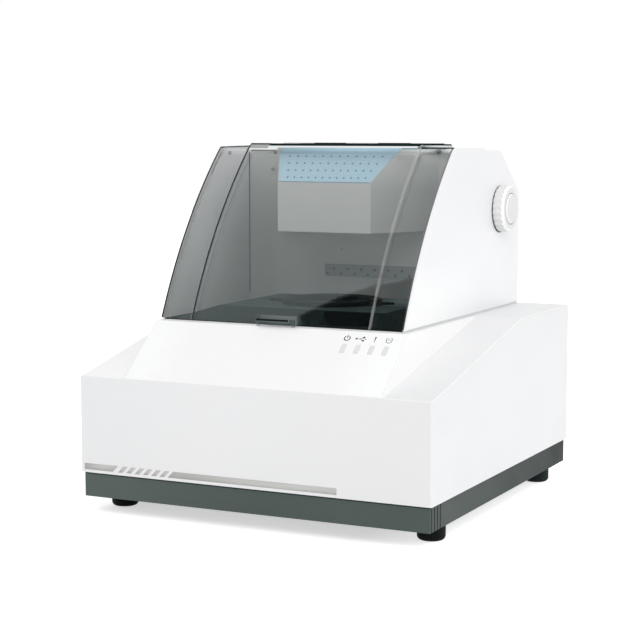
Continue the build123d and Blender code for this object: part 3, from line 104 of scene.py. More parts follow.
@dataclass(frozen=True)
class Place:
    """A flat working plane: origin in millimetres, across and up directions."""

    origin: Vec3
    across: Vec3 = RIGHT
    up: Vec3 = UP

    def points(self, flat: np.ndarray, lift: np.ndarray | float) -> np.ndarray:
        """Carries flat points into the object: origin + u * across + v * up + lift * outward.

        Args:
            flat: Array (..., 2) of plane coordinates.
            lift: Height above the plane, one number or an array (...).

        Returns:
            Array (..., 3) of points; outward is across times up.
        """
        height = np.broadcast_to(np.asarray(lift, dtype=float), flat.shape[:-1])
        on_plane = flat[..., :1] * np.array(self.across) + flat[..., 1:] * np.array(self.up)
        return np.array(self.origin) + on_plane + height[..., None] * np.cross(self.across, self.up)


@dataclass
class Shell:
    """Collects grids of points and polygons, in units of so many metres, and makes one object of them."""

    unit: float = MM
    points: list[np.ndarray] = field(default_factory=list)
    faces: list[np.ndarray] = field(default_factory=list)
    count: int = 0

    def tube(self, points: np.ndarray, closed: bool = False) -> None:
        """Adds quads between neighbouring rings of points, and caps the first and last ring.

        Args:
            points: Array (rings, points of a ring, 3).
            closed: Joins the last ring to the first, with no caps.
        """
        rings, around = points.shape[:2]
        index = np.arange(rings * around).reshape(rings, around) + self.count
        self.points.append(points.reshape(-1, 3))
        self.count += rings * around
        wide = np.vstack([index, index[:1]]) if closed else index
        wide = np.hstack([wide, wide[:, :1]])
        quads = np.stack([wide[:-1, :-1], wide[1:, :-1], wide[1:, 1:], wide[:-1, 1:]], axis=-1)
        self.faces.append(quads.reshape(-1, 4))
        if not closed:
            self.faces += [index[:1], index[-1:, ::-1]]

    def prism(self, outline: np.ndarray, shift: np.ndarray | Vec3) -> None:
        """Adds a block: an outline (n, 3) and its copy moved by the shift."""
        self.tube(np.stack([outline, outline + np.asarray(shift)]))

    def band(self, place: Place, left: np.ndarray, right: np.ndarray, lifts: Pair,
             closed: bool = False) -> None:
        """Adds a flat raised band: a four-cornered profile carried between a left and a right edge.

        Args:
            place: Plane that the band lies on.
            left: Left edge, (n, 2).
            right: Right edge, (n, 2).
            lifts: Lower and upper height over the plane.
            closed: True for a ring.
        """
        low, high = lifts
        corners = ((left, low), (left, high), (right, high), (right, low))
        self.tube(np.stack([place.points(edge, lift) for edge, lift in corners], axis=1), closed)

    def path(self, place: Place, line: np.ndarray, width: float, lifts: Pair, closed: bool = False) -> None:
        """Adds a band of even width along a line: each point moved half a width along its normal.

        Args:
            place: Plane that the line lies on.
            line: Array (n, 2).
            width: Width of the band.
            lifts: Lower and upper height over the plane.
            closed: True for a ring.
        """
        if closed:
            along = np.roll(line, -1, axis=0) - np.roll(line, 1, axis=0)
        else:
            along = np.gradient(line, axis=0)
        along = along / np.linalg.norm(along, axis=1, keepdims=True)
        normal = np.stack([-along[:, 1], along[:, 0]], axis=1) * width / 2
        self.band(place, line + normal, line - normal, lifts, closed)

    def ribbon(self, inner: np.ndarray, outer: np.ndarray, sides: Pair) -> None:
        """Adds a band between two curves in (Y, Z) that spans a range across.

        Args:
            inner: Lower line, (n, 2).
            outer: Upper line, (n, 2).
            sides: First and last place across.
        """
        corners = ((inner, sides[0]), (outer, sides[0]), (outer, sides[1]), (inner, sides[1]))
        self.tube(np.stack([np.column_stack([np.full(len(line), x), line]) for line, x in corners], axis=1))

    def lathe(self, place: Place, middle: Pair, profile: np.ndarray, steps: int) -> None:
        """Adds a turned form: radius and height from the profile, carried round the middle.

        Args:
            place: Plane that the form stands on.
            middle: Its centre on the plane.
            profile: Array (n, 2) of radius and height, from the foot to the top.
            steps: Points round a circle.
        """
        turn = np.linspace(0, 2 * np.pi, steps, endpoint=False)
        flat = profile[:, :1, None] * np.stack([np.cos(turn), np.sin(turn)], axis=1).T[None]
        height = np.repeat(profile[:, 1:2], steps, axis=1)
        self.tube(place.points(np.moveaxis(flat, 1, 2) + np.array(middle), height))

    def build(self, name: str, body: str, finish: Material, slot: str, smooth: bool = False) -> None:
        """Makes the object, turns its faces outwards, gives it its finish and lets it ride on a body.

        Args:
            name: Name of the piece.
            body: CAD body that it moves with.
            finish: Material of the whole piece.
            slot: Material slot of the record; not used.
            smooth: Shades flat areas together where they meet at a low angle.
        """
        mesh = bpy.data.meshes.new(name)
        points = (np.concatenate(self.points) * self.unit).astype(np.float32)
        loops = np.concatenate([part.ravel() for part in self.faces]).astype(np.int32)
        totals = np.concatenate([np.full(len(part), part.shape[1]) for part in self.faces])
        starts = np.concatenate([[0], np.cumsum(totals)[:-1]]).astype(np.int32)
        for target, key, values in ((mesh.vertices, "co", points), (mesh.loops, "vertex_index", loops),
                                    (mesh.polygons, "loop_start", starts)):
            target.add(len(values))
            target.foreach_set(key, values.ravel())
        mesh.update(calc_edges=True)
        mesh.validate()
        turn_outwards(mesh)
        if smooth:
            mesh.shade_smooth()
            mesh.set_sharp_from_angle(angle=SMOOTH_BELOW)
        piece = bpy.data.objects.new(name, mesh)
        bpy.context.scene.collection.objects.link(piece)
        mesh.materials.append(finish)
        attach(piece, body)
        log.info("%s: %d faces on %s", name, len(starts), body)


@dataclass
class NodeTree:
    """Short names for adding and joining the nodes of a shader tree."""

    tree: bpy.types.NodeTree

    def put(self, socket: Socket, value: object) -> None:
        """Links a result to a socket, or sets the socket's constant.

        Args:
            socket: Input to feed.
            value: Output of another node, or a constant.
        """
        if isinstance(value, Socket):
            self.tree.links.new(value, socket)
        else:
            socket.default_value = value

    def add(self, kind: str, values: dict[str | int, object] | None = None, **settings: object) -> Outputs:
        """Adds a node.

        Args:
            kind: Node type without its ShaderNode prefix.
            values: Constants or output sockets for its inputs, by name or number.
            settings: Attributes of the node.

        Returns:
            The new node's outputs.
        """
        node = self.tree.nodes.new(kind if kind.startswith("Node") else "ShaderNode" + kind)
        for key, value in settings.items():
            setattr(node, key, value)
        for key, value in (values or {}).items():
            self.put(node.inputs[key], value)
        return node.outputs

    def math(self, operation: str, first: object, second: object = 0.0, third: object = 0.0,
             clamp: bool = False) -> Socket:
        """Adds a Math node and returns its result."""
        return self.add("Math", {0: first, 1: second, 2: third}, operation=operation, use_clamp=clamp)[0]

    def vector(self, operation: str, first: object, second: object = (0.0, 0.0, 0.0)) -> Socket:
        """Adds a Vector Math node and returns its vector, or its number where it gives one."""
        outputs = self.add("VectorMath", {0: first, 1: second}, operation=operation)
        return outputs["Value" if operation in ("LENGTH", "DOT_PRODUCT") else "Vector"]

    def axis(self, vector: Socket, name: str) -> Socket:
        """One share of a vector."""
        return self.add("SeparateXYZ", {0: vector})[name]

    def fit(self, value: object, low: float, high: float, new_low: float = 0.0,
            new_high: float = 1.0) -> Socket:
        """Maps a value from one range to another, clamped at both ends."""
        return self.add("MapRange", {0: value, 1: low, 2: high, 3: new_low, 4: new_high})[0]

    def blend(self, share: object, first: object, second: object) -> Socket:
        """Mixes two colours by a share."""
        return self.add("Mix", {0: share, 6: first, 7: second}, data_type="RGBA")[2]

    def noise(self, vector: Socket, scale: object, **values: float) -> Socket:
        """Noise at a vector."""
        return self.add("TexNoise", {"Vector": vector, "Scale": scale, **values})["Fac"]

    def rays(self, *kinds: str) -> Socket:
        """Tells kinds of ray apart.

        Args:
            kinds: Names of the kinds, such as Camera or Shadow.

        Returns:
            One where the ray is of any of them: the greatest of their Light Path values.
        """
        path = self.add("LightPath")
        share = path[f"Is {kinds[0]} Ray"]
        for kind in kinds[1:]:
            share = self.math("MAXIMUM", share, path[f"Is {kind} Ray"])
        return share


class Effect(Enum):
    """Shared surface effects, with the names of their node groups."""

    GRAIN = "fine_grain"
    MARKS = "handling_marks"
    DUST = "settled_dust"
    LINES = "drawn_lines"
    RINGS = "turned_rings"


@dataclass
class EffectShelf:
    """Builds each shared effect once, as a node group with named inputs and outputs."""

    made: dict[Effect, bpy.types.NodeTree] = field(default_factory=dict)

    def get(self, effect: Effect) -> bpy.types.NodeTree:
        """Gives the group of an effect, built at its first use.

        Args:
            effect: The effect.

        Returns:
            Its node group.
        """
        if effect not in self.made:
            self.made[effect] = getattr(self, effect.name.lower())()
        return self.made[effect]

    def start(self, effect: Effect, **inputs: float | Vec3) -> tuple[NodeTree, Outputs]:
        """Begins a group with its inputs.

        Args:
            effect: The effect that the group is for.
            inputs: Default of each input besides the Vector that every group has.

        Returns:
            The tree, and the inputs as results to build on.
        """
        group = bpy.data.node_groups.new(effect.value, "ShaderNodeTree")
        for title, default in {"Vector": (0.0, 0.0, 0.0), **inputs}.items():
            kind = "NodeSocketFloat" if isinstance(default, float) else "NodeSocketVector"
            group.interface.new_socket(name=title, in_out="INPUT", socket_type=kind).default_value = default
        return NodeTree(group), NodeTree(group).add("NodeGroupInput")

    def finish(self, tree: NodeTree, **results: Socket) -> bpy.types.NodeTree:
        """Gives the group a number output for each result, and joins them.

        Args:
            tree: The group's tree.
            results: What each output gives.

        Returns:
            The finished group.
        """
        for title in results:
            tree.tree.interface.new_socket(name=title, in_out="OUTPUT", socket_type="NodeSocketFloat")
        tree.add("NodeGroupOutput", results)
        return tree.tree

    def grain(self) -> bpy.types.NodeTree:
        """Even fine texture of a coating or a moulded surface, and a slow drift of tone.

        Returns:
            The group, with outputs Height and Tone.
        """
        tree, given = self.start(Effect.GRAIN, Scale=900.0, Drift=6.0)
        fine = tree.noise(given["Vector"], given["Scale"], Detail=2.5, Roughness=0.6)
        slow = tree.noise(given["Vector"], given["Drift"], Detail=3.0)
        return self.finish(tree, Height=fine, Tone=tree.fit(slow, *NOISE))

    def marks(self) -> bpy.types.NodeTree:
        """Sparse hairline rubs in two directions, and soft smears.

        Returns:
            The group, with outputs Lines and Smears.
        """
        tree, given = self.start(Effect.MARKS, Scale=40.0)
        lines = []
        for turn, stretch in ((0.5, (1.0, 14.0, 3.0)), (-0.9, (2.0, 11.0, 16.0))):
            values = {"Vector": given["Vector"], "Angle": turn}
            turned = tree.add("VectorRotate", values, rotation_type="AXIS_ANGLE")
            drawn = tree.vector("MULTIPLY", turned[0], stretch)
            lines.append(tree.fit(tree.noise(drawn, given["Scale"], Detail=1.0), 0.70, 0.76))
        soft = tree.noise(given["Vector"], 14.0, Detail=4.0, Distortion=1.2)
        return self.finish(tree, Lines=tree.math("MAXIMUM", *lines), Smears=tree.fit(soft, 0.42, 0.75))

    def dust(self) -> bpy.types.NodeTree:
        """Thin dust where the surface faces up, broken by noise.

        Returns:
            The group, with output Mask.
        """
        tree, given = self.start(Effect.DUST, Facing=UP, Amount=0.1)
        patch = tree.fit(tree.noise(given["Vector"], 55.0, Detail=5.0, Roughness=0.7), 0.35, 0.8)
        level = tree.math("MULTIPLY", tree.fit(tree.axis(given["Facing"], "Z"), 0.2, 0.9), patch)
        return self.finish(tree, Mask=tree.math("MULTIPLY", level, given["Amount"], clamp=True))

    def lines(self) -> bpy.types.NodeTree:
        """Long fine lines of drawn or brushed metal: noise stretched by a vector.

        Returns:
            The group, with outputs Height and Tone.
        """
        tree, given = self.start(Effect.LINES, Stretch=(20.0, 900.0, 900.0))
        drawn = tree.vector("MULTIPLY", given["Vector"], given["Stretch"])
        fine = tree.noise(drawn, 1.0, Detail=3.0, Roughness=0.7)
        return self.finish(tree, Height=fine, Tone=tree.noise(drawn, 0.12, Detail=2.0))

    def rings(self) -> bpy.types.NodeTree:
        """Fine rings of turned metal round an upright axis: noise over the distance from it.

        Returns:
            The group, with outputs Height and Tone.
        """
        tree, given = self.start(Effect.RINGS, Centre=(0.0, 0.0, 0.0), Pitch=2400.0)
        apart = tree.vector("SUBTRACT", given["Vector"], given["Centre"])
        reach = tree.vector("LENGTH", tree.vector("MULTIPLY", apart, (1.0, 1.0, 0.0)))
        spots = [tree.math("MULTIPLY", value, given["Pitch"]) for value in (reach, tree.axis(apart, "Z"))]
        line = tree.add("CombineXYZ", {0: spots[0], 1: spots[1]})[0]
        fine = tree.noise(line, 1.0, Detail=2.0)
        return self.finish(tree, Height=fine, Tone=tree.noise(line, 0.15, Detail=1.0))


shelf = EffectShelf()


@dataclass
class Coat:
    """A material in the making: its tree, its Principled shader and the object coordinates."""

    name: str
    material: Material = field(init=False)
    tree: NodeTree = field(init=False)
    shader: bpy.types.Node = field(init=False)
    where: Socket = field(init=False)

    def __post_init__(self) -> None:
        """Creates the material with an empty Principled shader."""
        self.material = bpy.data.materials.new(self.name)
        self.material.use_nodes = True
        nodes = self.material.node_tree.nodes
        nodes.clear()
        self.tree = NodeTree(self.material.node_tree)
        self.shader = nodes.new("ShaderNodeBsdfPrincipled")
        self.tree.add("OutputMaterial", {0: self.shader.outputs[0]})
        self.where = self.tree.add("TexCoord")["Object"]

    def put(self, title: str, value: object) -> None:
        """Sets a constant on the shader's socket or links a result to it."""
        self.tree.put(self.shader.inputs[title], value)

    def effect(self, effect: Effect, **values: object) -> Outputs:
        """Adds a shared effect at the object's coordinates, with its own values."""
        return self.tree.add("Group", {"Vector": self.where, **values}, node_tree=shelf.get(effect))

    def bump(self, height: Socket, depth: float) -> None:
        """Feeds a height from 0 to 1, for a relief of a depth in metres, into the shader's normal."""
        self.put("Normal", self.tree.add("Bump", {"Height": height, "Distance": depth, "Strength": 1.0})[0])

    def facing(self) -> Socket:
        """The surface's own direction."""
        return self.tree.add("NewGeometry")["Normal"]

    def front(self) -> Socket:
        """One on faces seen from their outer side."""
        return self.tree.math("SUBTRACT", 1.0, self.tree.add("NewGeometry")["Backfacing"])


class Source(Enum):
    """What a zone grows by: the place in the object in metres, or the share of a direction in the normal."""

    PLACE = "place"
    FACING = "facing"


@dataclass(frozen=True)
class Grow:
    """How a zone grows: from nothing to full between two values."""

    source: Source
    axis: str
    start: float
    end: float
    mirrored: bool = False


def at(axis: str, start: float, end: float, mirrored: bool = False) -> Grow:
    """Growth by place."""
    return Grow(Source.PLACE, axis, start, end, mirrored)


def toward(axis: str, start: float, end: float, mirrored: bool = False) -> Grow:
    """Growth by direction."""
    return Grow(Source.FACING, axis, start, end, mirrored)


@dataclass(frozen=True)
class Zone:
    """Another tone on part of a finish, on most finishes painted light or shade; the part is the product of
    its growths.
    """

    colour: Vec3
    growths: tuple[Grow, ...]

    def apply(self, coat: Coat, base: Socket) -> Socket:
        """Blends the tone over the base colour.

        Args:
            coat: Material in the making.
            base: Colour below.

        Returns:
            The colour with the zone on it.
        """
        tree = coat.tree
        mask: Socket | float = 1.0
        for growth in self.growths:
            value = tree.axis(coat.where if growth.source is Source.PLACE else coat.facing(), growth.axis)
            value = tree.math("ABSOLUTE", value) if growth.mirrored else value
            mask = tree.math("MULTIPLY", mask, tree.fit(value, growth.start, growth.end))
        return tree.blend(mask, base, linear(self.colour))


@dataclass(frozen=True)
class Finish:
    """A named finish."""

    name: str

    def dress(self, coat: Coat, tree: NodeTree) -> None:
        """Sets the sockets of a new material's shader.

        Args:
            coat: Material in the making.
            tree: Its tree, for the nodes that feed the sockets.
        """
        raise NotImplementedError

    def material(self) -> Material:
        """Builds the material.

        Returns:
            The finished material.
        """
        coat = Coat(self.name)
        self.dress(coat, coat.tree)
        return coat.material


@dataclass(frozen=True)
class Skin(Finish):
    """What paint and mouldings share: a grain, a drift by a step of colour, zones of other tones (on many
    finishes painted light and shade), rubs and dust.
    """

    colour: Vec3
    roughness: float = 0.45
    step: Vec3 | float = -6.0
    grain: float = 1600.0
    depth: float = 0.00005
    dust: float = 0.08
    shine: float = 0.5
    zones: tuple[Zone, ...] = ()

    def begin(self, coat: Coat, drift: float, rub: float, settled: Vec3) -> tuple[Outputs, Outputs]:
        """Starts the material with its colour.

        Args:
            coat: Material in the making.
            drift: Scale of the drift of tone.
            rub: Scale of the handling marks.
            settled: Colour of the dust.

        Returns:
            The grain and the marks.
        """
        grain = coat.effect(Effect.GRAIN, Scale=self.grain, Drift=drift)
        dust = coat.effect(Effect.DUST, Facing=coat.facing(), Amount=self.dust)
        base = coat.tree.blend(grain["Tone"], linear(self.colour), linear(np.add(self.colour, self.step)))
        for zone in self.zones:
            base = zone.apply(coat, base)
        coat.put("Base Color", coat.tree.blend(dust["Mask"], base, linear(settled)))
        coat.put("Specular IOR Level", self.shine)
        return grain, coat.effect(Effect.MARKS, Scale=rub)


@dataclass(frozen=True)
class Paint(Skin):
    """Sprayed coating with a fine even texture."""

    roughness: float = 0.42
    grain: float = 1300.0
    depth: float = 0.00004
    dust: float = 0.05

    def dress(self, coat: Coat, tree: NodeTree) -> None:
        """Builds the coating: smears dull it, and hairline rubs polish it.

        Args:
            coat: Material in the making.
            tree: Its tree, for the nodes that feed the sockets.
        """
        grain, marks = self.begin(coat, 7.0, 30.0, PAINT_DUST)
        rough = tree.fit(marks["Smears"], 0.0, 1.0, self.roughness, self.roughness + 0.09)
        coat.put("Roughness", tree.math("SUBTRACT", rough, tree.math("MULTIPLY", marks["Lines"], 0.06)))
        coat.bump(grain["Height"], self.depth)


@dataclass(frozen=True)
class Moulding(Skin):
    """Moulded plastic or rubber with a spark-eroded texture and a satin skin."""

    def dress(self, coat: Coat, tree: NodeTree) -> None:
        """Builds the moulded skin: its relief is grain plus cells.

        Args:
            coat: Material in the making.
            tree: Its tree, for the nodes that feed the sockets.
        """
        grain, marks = self.begin(coat, 18.0, 60.0, PLASTIC_DUST)
        cells = tree.add("TexVoronoi", {"Vector": coat.where, "Scale": self.grain * 0.6}, feature="SMOOTH_F1")
        dull = min(1.0, self.roughness + 0.14)
        coat.put("Roughness", tree.fit(marks["Smears"], 0.0, 1.0, self.roughness, dull))
        coat.bump(tree.math("MULTIPLY_ADD", cells["Distance"], 0.6, grain["Height"]), self.depth)


@dataclass(frozen=True)
class Trim(Moulding):
    """Small dust-free moulding with little shine."""

    roughness: float = 0.5
    dust: float = 0.0
    shine: float = 0.1


@dataclass(frozen=True)
class FineTrim(Trim):
    """Trim with a finer skin."""

    grain: float = 2400.0
    depth: float = 0.00002


class MetalWork(Enum):
    """How a metal surface was worked."""

    DRAWN = "drawn"
    TURNED = "turned"
    CAST = "cast"


@dataclass(frozen=True)
class Metal(Finish):
    """Bare or plated metal with the lines, rings or skin that its making leaves."""

    colour: Vec3
    work: MetalWork
    roughness: float = 0.32
    stretch: Vec3 = (25.0, 1200.0, 1200.0)
    centre: Vec3 = (0.0, -0.0145, 0.2)
    depth: float = 0.00003

    def dress(self, coat: Coat, tree: NodeTree) -> None:
        """Builds the metal.

        Args:
            coat: Material in the making.
            tree: Its tree, for the nodes that feed the sockets.
        """
        if self.work is MetalWork.DRAWN:
            work = coat.effect(Effect.LINES, Stretch=self.stretch)
        elif self.work is MetalWork.TURNED:
            work = coat.effect(Effect.RINGS, Centre=self.centre, Pitch=2600.0)
        else:
            work = coat.effect(Effect.GRAIN, Scale=700.0, Drift=25.0)
        marks = coat.effect(Effect.MARKS, Scale=80.0)
        tone = tree.fit(work["Tone"], *NOISE)
        coat.put("Base Color", tree.blend(tone, linear(self.colour), linear(self.colour, DARKER)))
        coat.put("Metallic", 1.0)
        rough = tree.fit(work["Height"], *NOISE, self.roughness - 0.06, self.roughness + 0.08)
        coat.put("Roughness", tree.math("MULTIPLY_ADD", marks["Smears"], 0.08, rough))
        coat.bump(work["Height"], self.depth)


@dataclass(frozen=True)
class CanopyCurve:
    """The hood's front curve in (Y, Z), in metres: a long arc, a tight crest and a flat top."""

    centre_y: float
    centre_z: float
    radius: float
    top: float
    crest: float = 0.005

    @classmethod
    def through(cls, foot: Pair, crest: Pair, bulge: float) -> "CanopyCurve":
        """Fits the arc: its radius is (a quarter of the chord squared + bulge squared) / (2 * bulge).

        Args:
            foot: Low end of the arc.
            crest: High end, at the height of the flat top.
            bulge: How far the arc stands out from the chord between them.

        Returns:
            The curve.
        """
        low, high = np.array(foot), np.array(crest)
        run, height = high - low
        chord = math.hypot(run, height)
        radius = (chord ** 2 / 4 + bulge ** 2) / (2 * bulge)
        middle = (low + high) / 2 + (radius - bulge) / chord * np.array([height, -run])
        return cls(float(middle[0]), float(middle[1]), radius, float(high[1]))

    def crest_middle(self) -> Pair:
        """Centre of the crest: one crest radius under the top, and inside the arc by the same."""
        z = self.top - self.crest
        return self.centre_y - math.sqrt((self.radius - self.crest) ** 2 - (z - self.centre_z) ** 2), z

    def joint(self) -> float:
        """Angle over the horizontal, in radians, where the arc goes over into the crest."""
        y, z = self.crest_middle()
        return math.atan2(z - self.centre_z, self.centre_y - y)

    def line(self, lift: float, low_z: float, rear_y: float) -> np.ndarray:
        """Points of the curve at a lift, from a low height over the crest to a place behind it.

        Args:
            lift: Distance outside the drawn curve.
            low_z: Height where the line starts.
            rear_y: Place where the line ends, on the arc, the crest or the flat top.

        Returns:
            Array (n, 2) of Y and Z.
        """
        y, z = self.crest_middle()
        turn, tight, wide = self.joint(), self.crest + lift, self.radius + lift
        joint = math.degrees(turn)
        parts = []
        if low_z < z + tight * math.sin(turn):
            start = math.degrees(math.asin((low_z - self.centre_z) / wide))
            reach = self.centre_y - rear_y
            stop = math.degrees(math.acos(reach / wide)) if reach > wide * math.cos(turn) else joint
            parts.append(arc((self.centre_y, self.centre_z), wide, 180.0 - start, 180.0 - stop, 64))
            if stop < joint:
                return parts[0]
            start = joint
        else:
            start = math.degrees(math.asin(min((low_z - z) / tight, 1.0)))
        stop = math.degrees(math.acos((y - rear_y) / tight)) if rear_y < y else 90.0
        parts.append(arc((y, z), tight, 180.0 - start, 180.0 - stop, 14)[1 if parts else 0:])
        flat = np.linspace(y, rear_y, 4)[1:] if rear_y > y else np.empty(0)
        parts.append(np.stack([flat, np.full(len(flat), self.top + lift)], axis=1))
        return np.concatenate(parts)

    def y_at(self, z: float, lift: float) -> float:
        """Finds the curve at a height: its middle's Y less the root of reach squared minus rise squared.

        Args:
            z: Height on the crest or the arc.
            lift: Distance outside the drawn curve.

        Returns:
            The place along Y.
        """
        y, middle = self.crest_middle()
        if z > middle + (self.crest + lift) * math.sin(self.joint()):
            return y - math.sqrt(max((self.crest + lift) ** 2 - (z - middle) ** 2, 0.0))
        return self.centre_y - math.sqrt((self.radius + lift) ** 2 - (z - self.centre_z) ** 2)

    def reach(self, coat: Coat) -> Socket:
        """Measures a shaded point from the arc's middle: the root of the summed squares along Y and Z.

        Args:
            coat: Material in the making.

        Returns:
            The distance in metres.
        """
        tree = coat.tree
        along = tree.math("SUBTRACT", tree.axis(coat.where, "Y"), self.centre_y)
        rise = tree.math("SUBTRACT", tree.axis(coat.where, "Z"), self.centre_z)
        squares = tree.math("ADD", tree.math("MULTIPLY", along, along), tree.math("MULTIPLY", rise, rise))
        return tree.math("SQRT", squares)


@dataclass(frozen=True)
class SmokedSheet(Finish):
    """Smoked clear plastic: see-through faces, a brighter crest, faint wipe marks, hidden sawn sides."""

    curve: CanopyCurve
    veil: float = 0.265
    veil_top: float = 0.21
    split: float = -0.002
    colour: Vec3 = (22, 28, 28)
    bend: float = 1.62
    gloss: float = 2.3
    inner_veil: float = 0.55
    deepest: float = -0.0044
    crest_from: Pair = (0.402, 0.409)
    crest_to: Pair = (0.4154, 0.4157)
    crest_share: float = 0.35
    heights: Pair = (0.25, 0.41)
    sideways: float = 0.8
    turned_share: float = 0.7
    wiped: float = 0.015
    rough: Pair = (0.018, 0.034)

    def dress(self, coat: Coat, tree: NodeTree) -> None:
        """Builds the sheet. Its alpha is the veil at a right angle and rises with the Fresnel share.

        The veil thins over the crest. Inner faces seen from their own side, which shows only on the
        open door, are denser. Faces to the sides and faces deep inside don't show, and light passes.

        Args:
            coat: Material in the making.
            tree: Its tree, for the nodes that feed the sockets.
        """
        grain = coat.effect(Effect.GRAIN, Scale=2000.0, Drift=5.0)
        marks = coat.effect(Effect.MARKS, Scale=45.0)
        dust = coat.effect(Effect.DUST, Facing=coat.facing(), Amount=0.02)
        height = tree.axis(coat.where, "Z")
        side = tree.math("ABSOLUTE", tree.axis(coat.facing(), "X"))
        lift = tree.math("SUBTRACT", self.curve.reach(coat), self.curve.radius)
        lift = tree.math("MAXIMUM", lift, tree.math("SUBTRACT", height, self.curve.top))
        deep = tree.math("LESS_THAN", lift, self.deepest)
        hidden = tree.math("MAXIMUM", deep, tree.math("GREATER_THAN", side, self.sideways))
        tint = tree.blend(grain["Tone"], linear(self.colour), linear(self.colour, 0.9))
        coat.put("Base Color", tree.blend(dust["Mask"], tint, linear(SHEET_DUST)))
        front = coat.front()
        turned = tree.math("MULTIPLY", tree.add("Fresnel", {"IOR": self.bend})[0], front)
        veil = tree.fit(height, *self.heights, self.veil, self.veil_top)
        clear = tree.math("ADD", veil, tree.math("MULTIPLY", turned, self.turned_share), clamp=True)
        thin = tree.fit(height, *self.crest_from, 1.0, self.crest_share)
        thin = tree.math("MAXIMUM", thin, tree.fit(height, *self.crest_to, self.crest_share, 1.0))
        clear = tree.math("MULTIPLY", clear, thin)
        clear = tree.math("ADD", clear, tree.math("MULTIPLY", marks["Lines"], self.wiped))
        within = tree.math("MULTIPLY", tree.math("LESS_THAN", lift, self.split), front)
        clear = tree.math("MAXIMUM", clear, tree.math("MULTIPLY", within, self.inner_veil))
        passed = tree.math("MAXIMUM", tree.rays(*PASSING), hidden)
        coat.put("Alpha", tree.math("MULTIPLY", clear, tree.math("SUBTRACT", 1.0, passed)))
        coat.put("Roughness", tree.fit(marks["Smears"], 0.0, 1.0, *self.rough))
        coat.put("IOR", self.gloss)
        coat.put("Specular Tint", (0.86, 1.0, 0.99, 1.0))


@dataclass(frozen=True)
class ClearPlastic(Finish):
    """Clear plastic with bright edges, clearest at its low rim and for light that passes."""

    colour: Vec3
    veil: float
    rim: Pair = (0.2184, 0.2198)
    rim_share: float = 0.25
    turned_share: float = 0.6
    rough: Pair = (0.08, 0.16)

    def dress(self, coat: Coat, tree: NodeTree) -> None:
        """Builds the plastic: its alpha rises where the surface turns away.

        Args:
            coat: Material in the making.
            tree: Its tree, for the nodes that feed the sockets.
        """
        marks = coat.effect(Effect.MARKS, Scale=90.0)
        coat.put("Base Color", tree.blend(marks["Smears"], linear(self.colour), linear(self.colour, 0.7)))
        turned = tree.add("LayerWeight", {"Blend": 0.45})["Facing"]
        veil = tree.math("MULTIPLY_ADD", turned, self.turned_share, self.veil, clamp=True)
        kept = tree.math("SUBTRACT", 1.0, tree.rays(*PASSING))
        seen = tree.fit(tree.axis(coat.where, "Z"), *self.rim, self.rim_share, 1.0)
        coat.put("Alpha", tree.math("MULTIPLY", veil, tree.math("MULTIPLY", seen, kept)))
        coat.put("Roughness", tree.fit(marks["Smears"], 0.0, 1.0, *self.rough))
        coat.put("IOR", GLASS_IOR)


@dataclass(frozen=True)
class SealStrip(Finish):
    """Pale translucent seal that shows only from its outer side."""

    colour: Vec3
    curve: CanopyCurve
    veil: float = 0.5
    inner: float = 0.1106
    depth: float = 0.0015
    rough: Pair = (0.5, 0.62)

    def dress(self, coat: Coat, tree: NodeTree) -> None:
        """Builds the seal: clear on its inner side, deep under the curve, or seen from behind.

        Args:
            coat: Material in the making.
            tree: Its tree, for the nodes that feed the sockets.
        """
        grain = coat.effect(Effect.GRAIN, Scale=1500.0, Drift=40.0)
        across = tree.math("ABSOLUTE", tree.axis(coat.where, "X"))
        shown = tree.math("MULTIPLY", tree.math("GREATER_THAN", across, self.inner), coat.front())
        near = tree.math("GREATER_THAN", self.curve.reach(coat), self.curve.radius - self.depth)
        shown = tree.math("MULTIPLY", shown, near)
        coat.put("Base Color", tree.blend(grain["Tone"], linear(self.colour), linear(self.colour, DARKER)))
        coat.put("Alpha", tree.math("MULTIPLY", shown, self.veil))
        coat.put("Roughness", tree.fit(grain["Height"], *NOISE, *self.rough))


@dataclass(frozen=True)
class OpticGlass(Finish):
    """Polished optical glass with faint smears."""

    tint: Vec3
    rough: Pair = (0.02, 0.07)

    def dress(self, coat: Coat, tree: NodeTree) -> None:
        """Builds the glass.

        Args:
            coat: Material in the making.
            tree: Its tree, for the nodes that feed the sockets.
        """
        marks = coat.effect(Effect.MARKS, Scale=120.0)
        coat.put("Base Color", linear(self.tint))
        coat.put("Transmission Weight", 1.0)
        coat.put("IOR", GLASS_IOR)
        coat.put("Roughness", tree.fit(marks["Smears"], 0.0, 1.0, *self.rough))


@dataclass(frozen=True)
class CircuitBoard(Finish):
    """Solder mask with tracks and dark components on top."""

    mask: Vec3
    track: Vec3
    part: Vec3
    part_from: float
    track_scale: float = 120.0
    track_width: float = 0.035
    track_depth: float = 0.00003
    rough: Pair = (0.3, 0.45)

    def dress(self, coat: Coat, tree: NodeTree) -> None:
        """Builds the board: tracks from a brick pattern, components by height.

        Args:
            coat: Material in the making.
            tree: Its tree, for the nodes that feed the sockets.
        """
        bricks = tree.add("TexBrick", {
            "Vector": coat.where, "Scale": self.track_scale, "Mortar Size": self.track_width,
            "Color1": linear(self.mask), "Color2": linear(self.mask, 0.8), "Mortar": linear(self.track)})
        raised = tree.math("GREATER_THAN", tree.axis(coat.where, "Z"), self.part_from)
        grain = coat.effect(Effect.GRAIN, Scale=900.0, Drift=60.0)
        part = tree.blend(grain["Tone"], linear(self.part), linear(self.part, 0.7))
        coat.put("Base Color", tree.blend(raised, bricks["Color"], part))
        coat.put("Roughness", tree.fit(grain["Tone"], 0.0, 1.0, *self.rough))
        coat.bump(bricks["Fac"], self.track_depth)


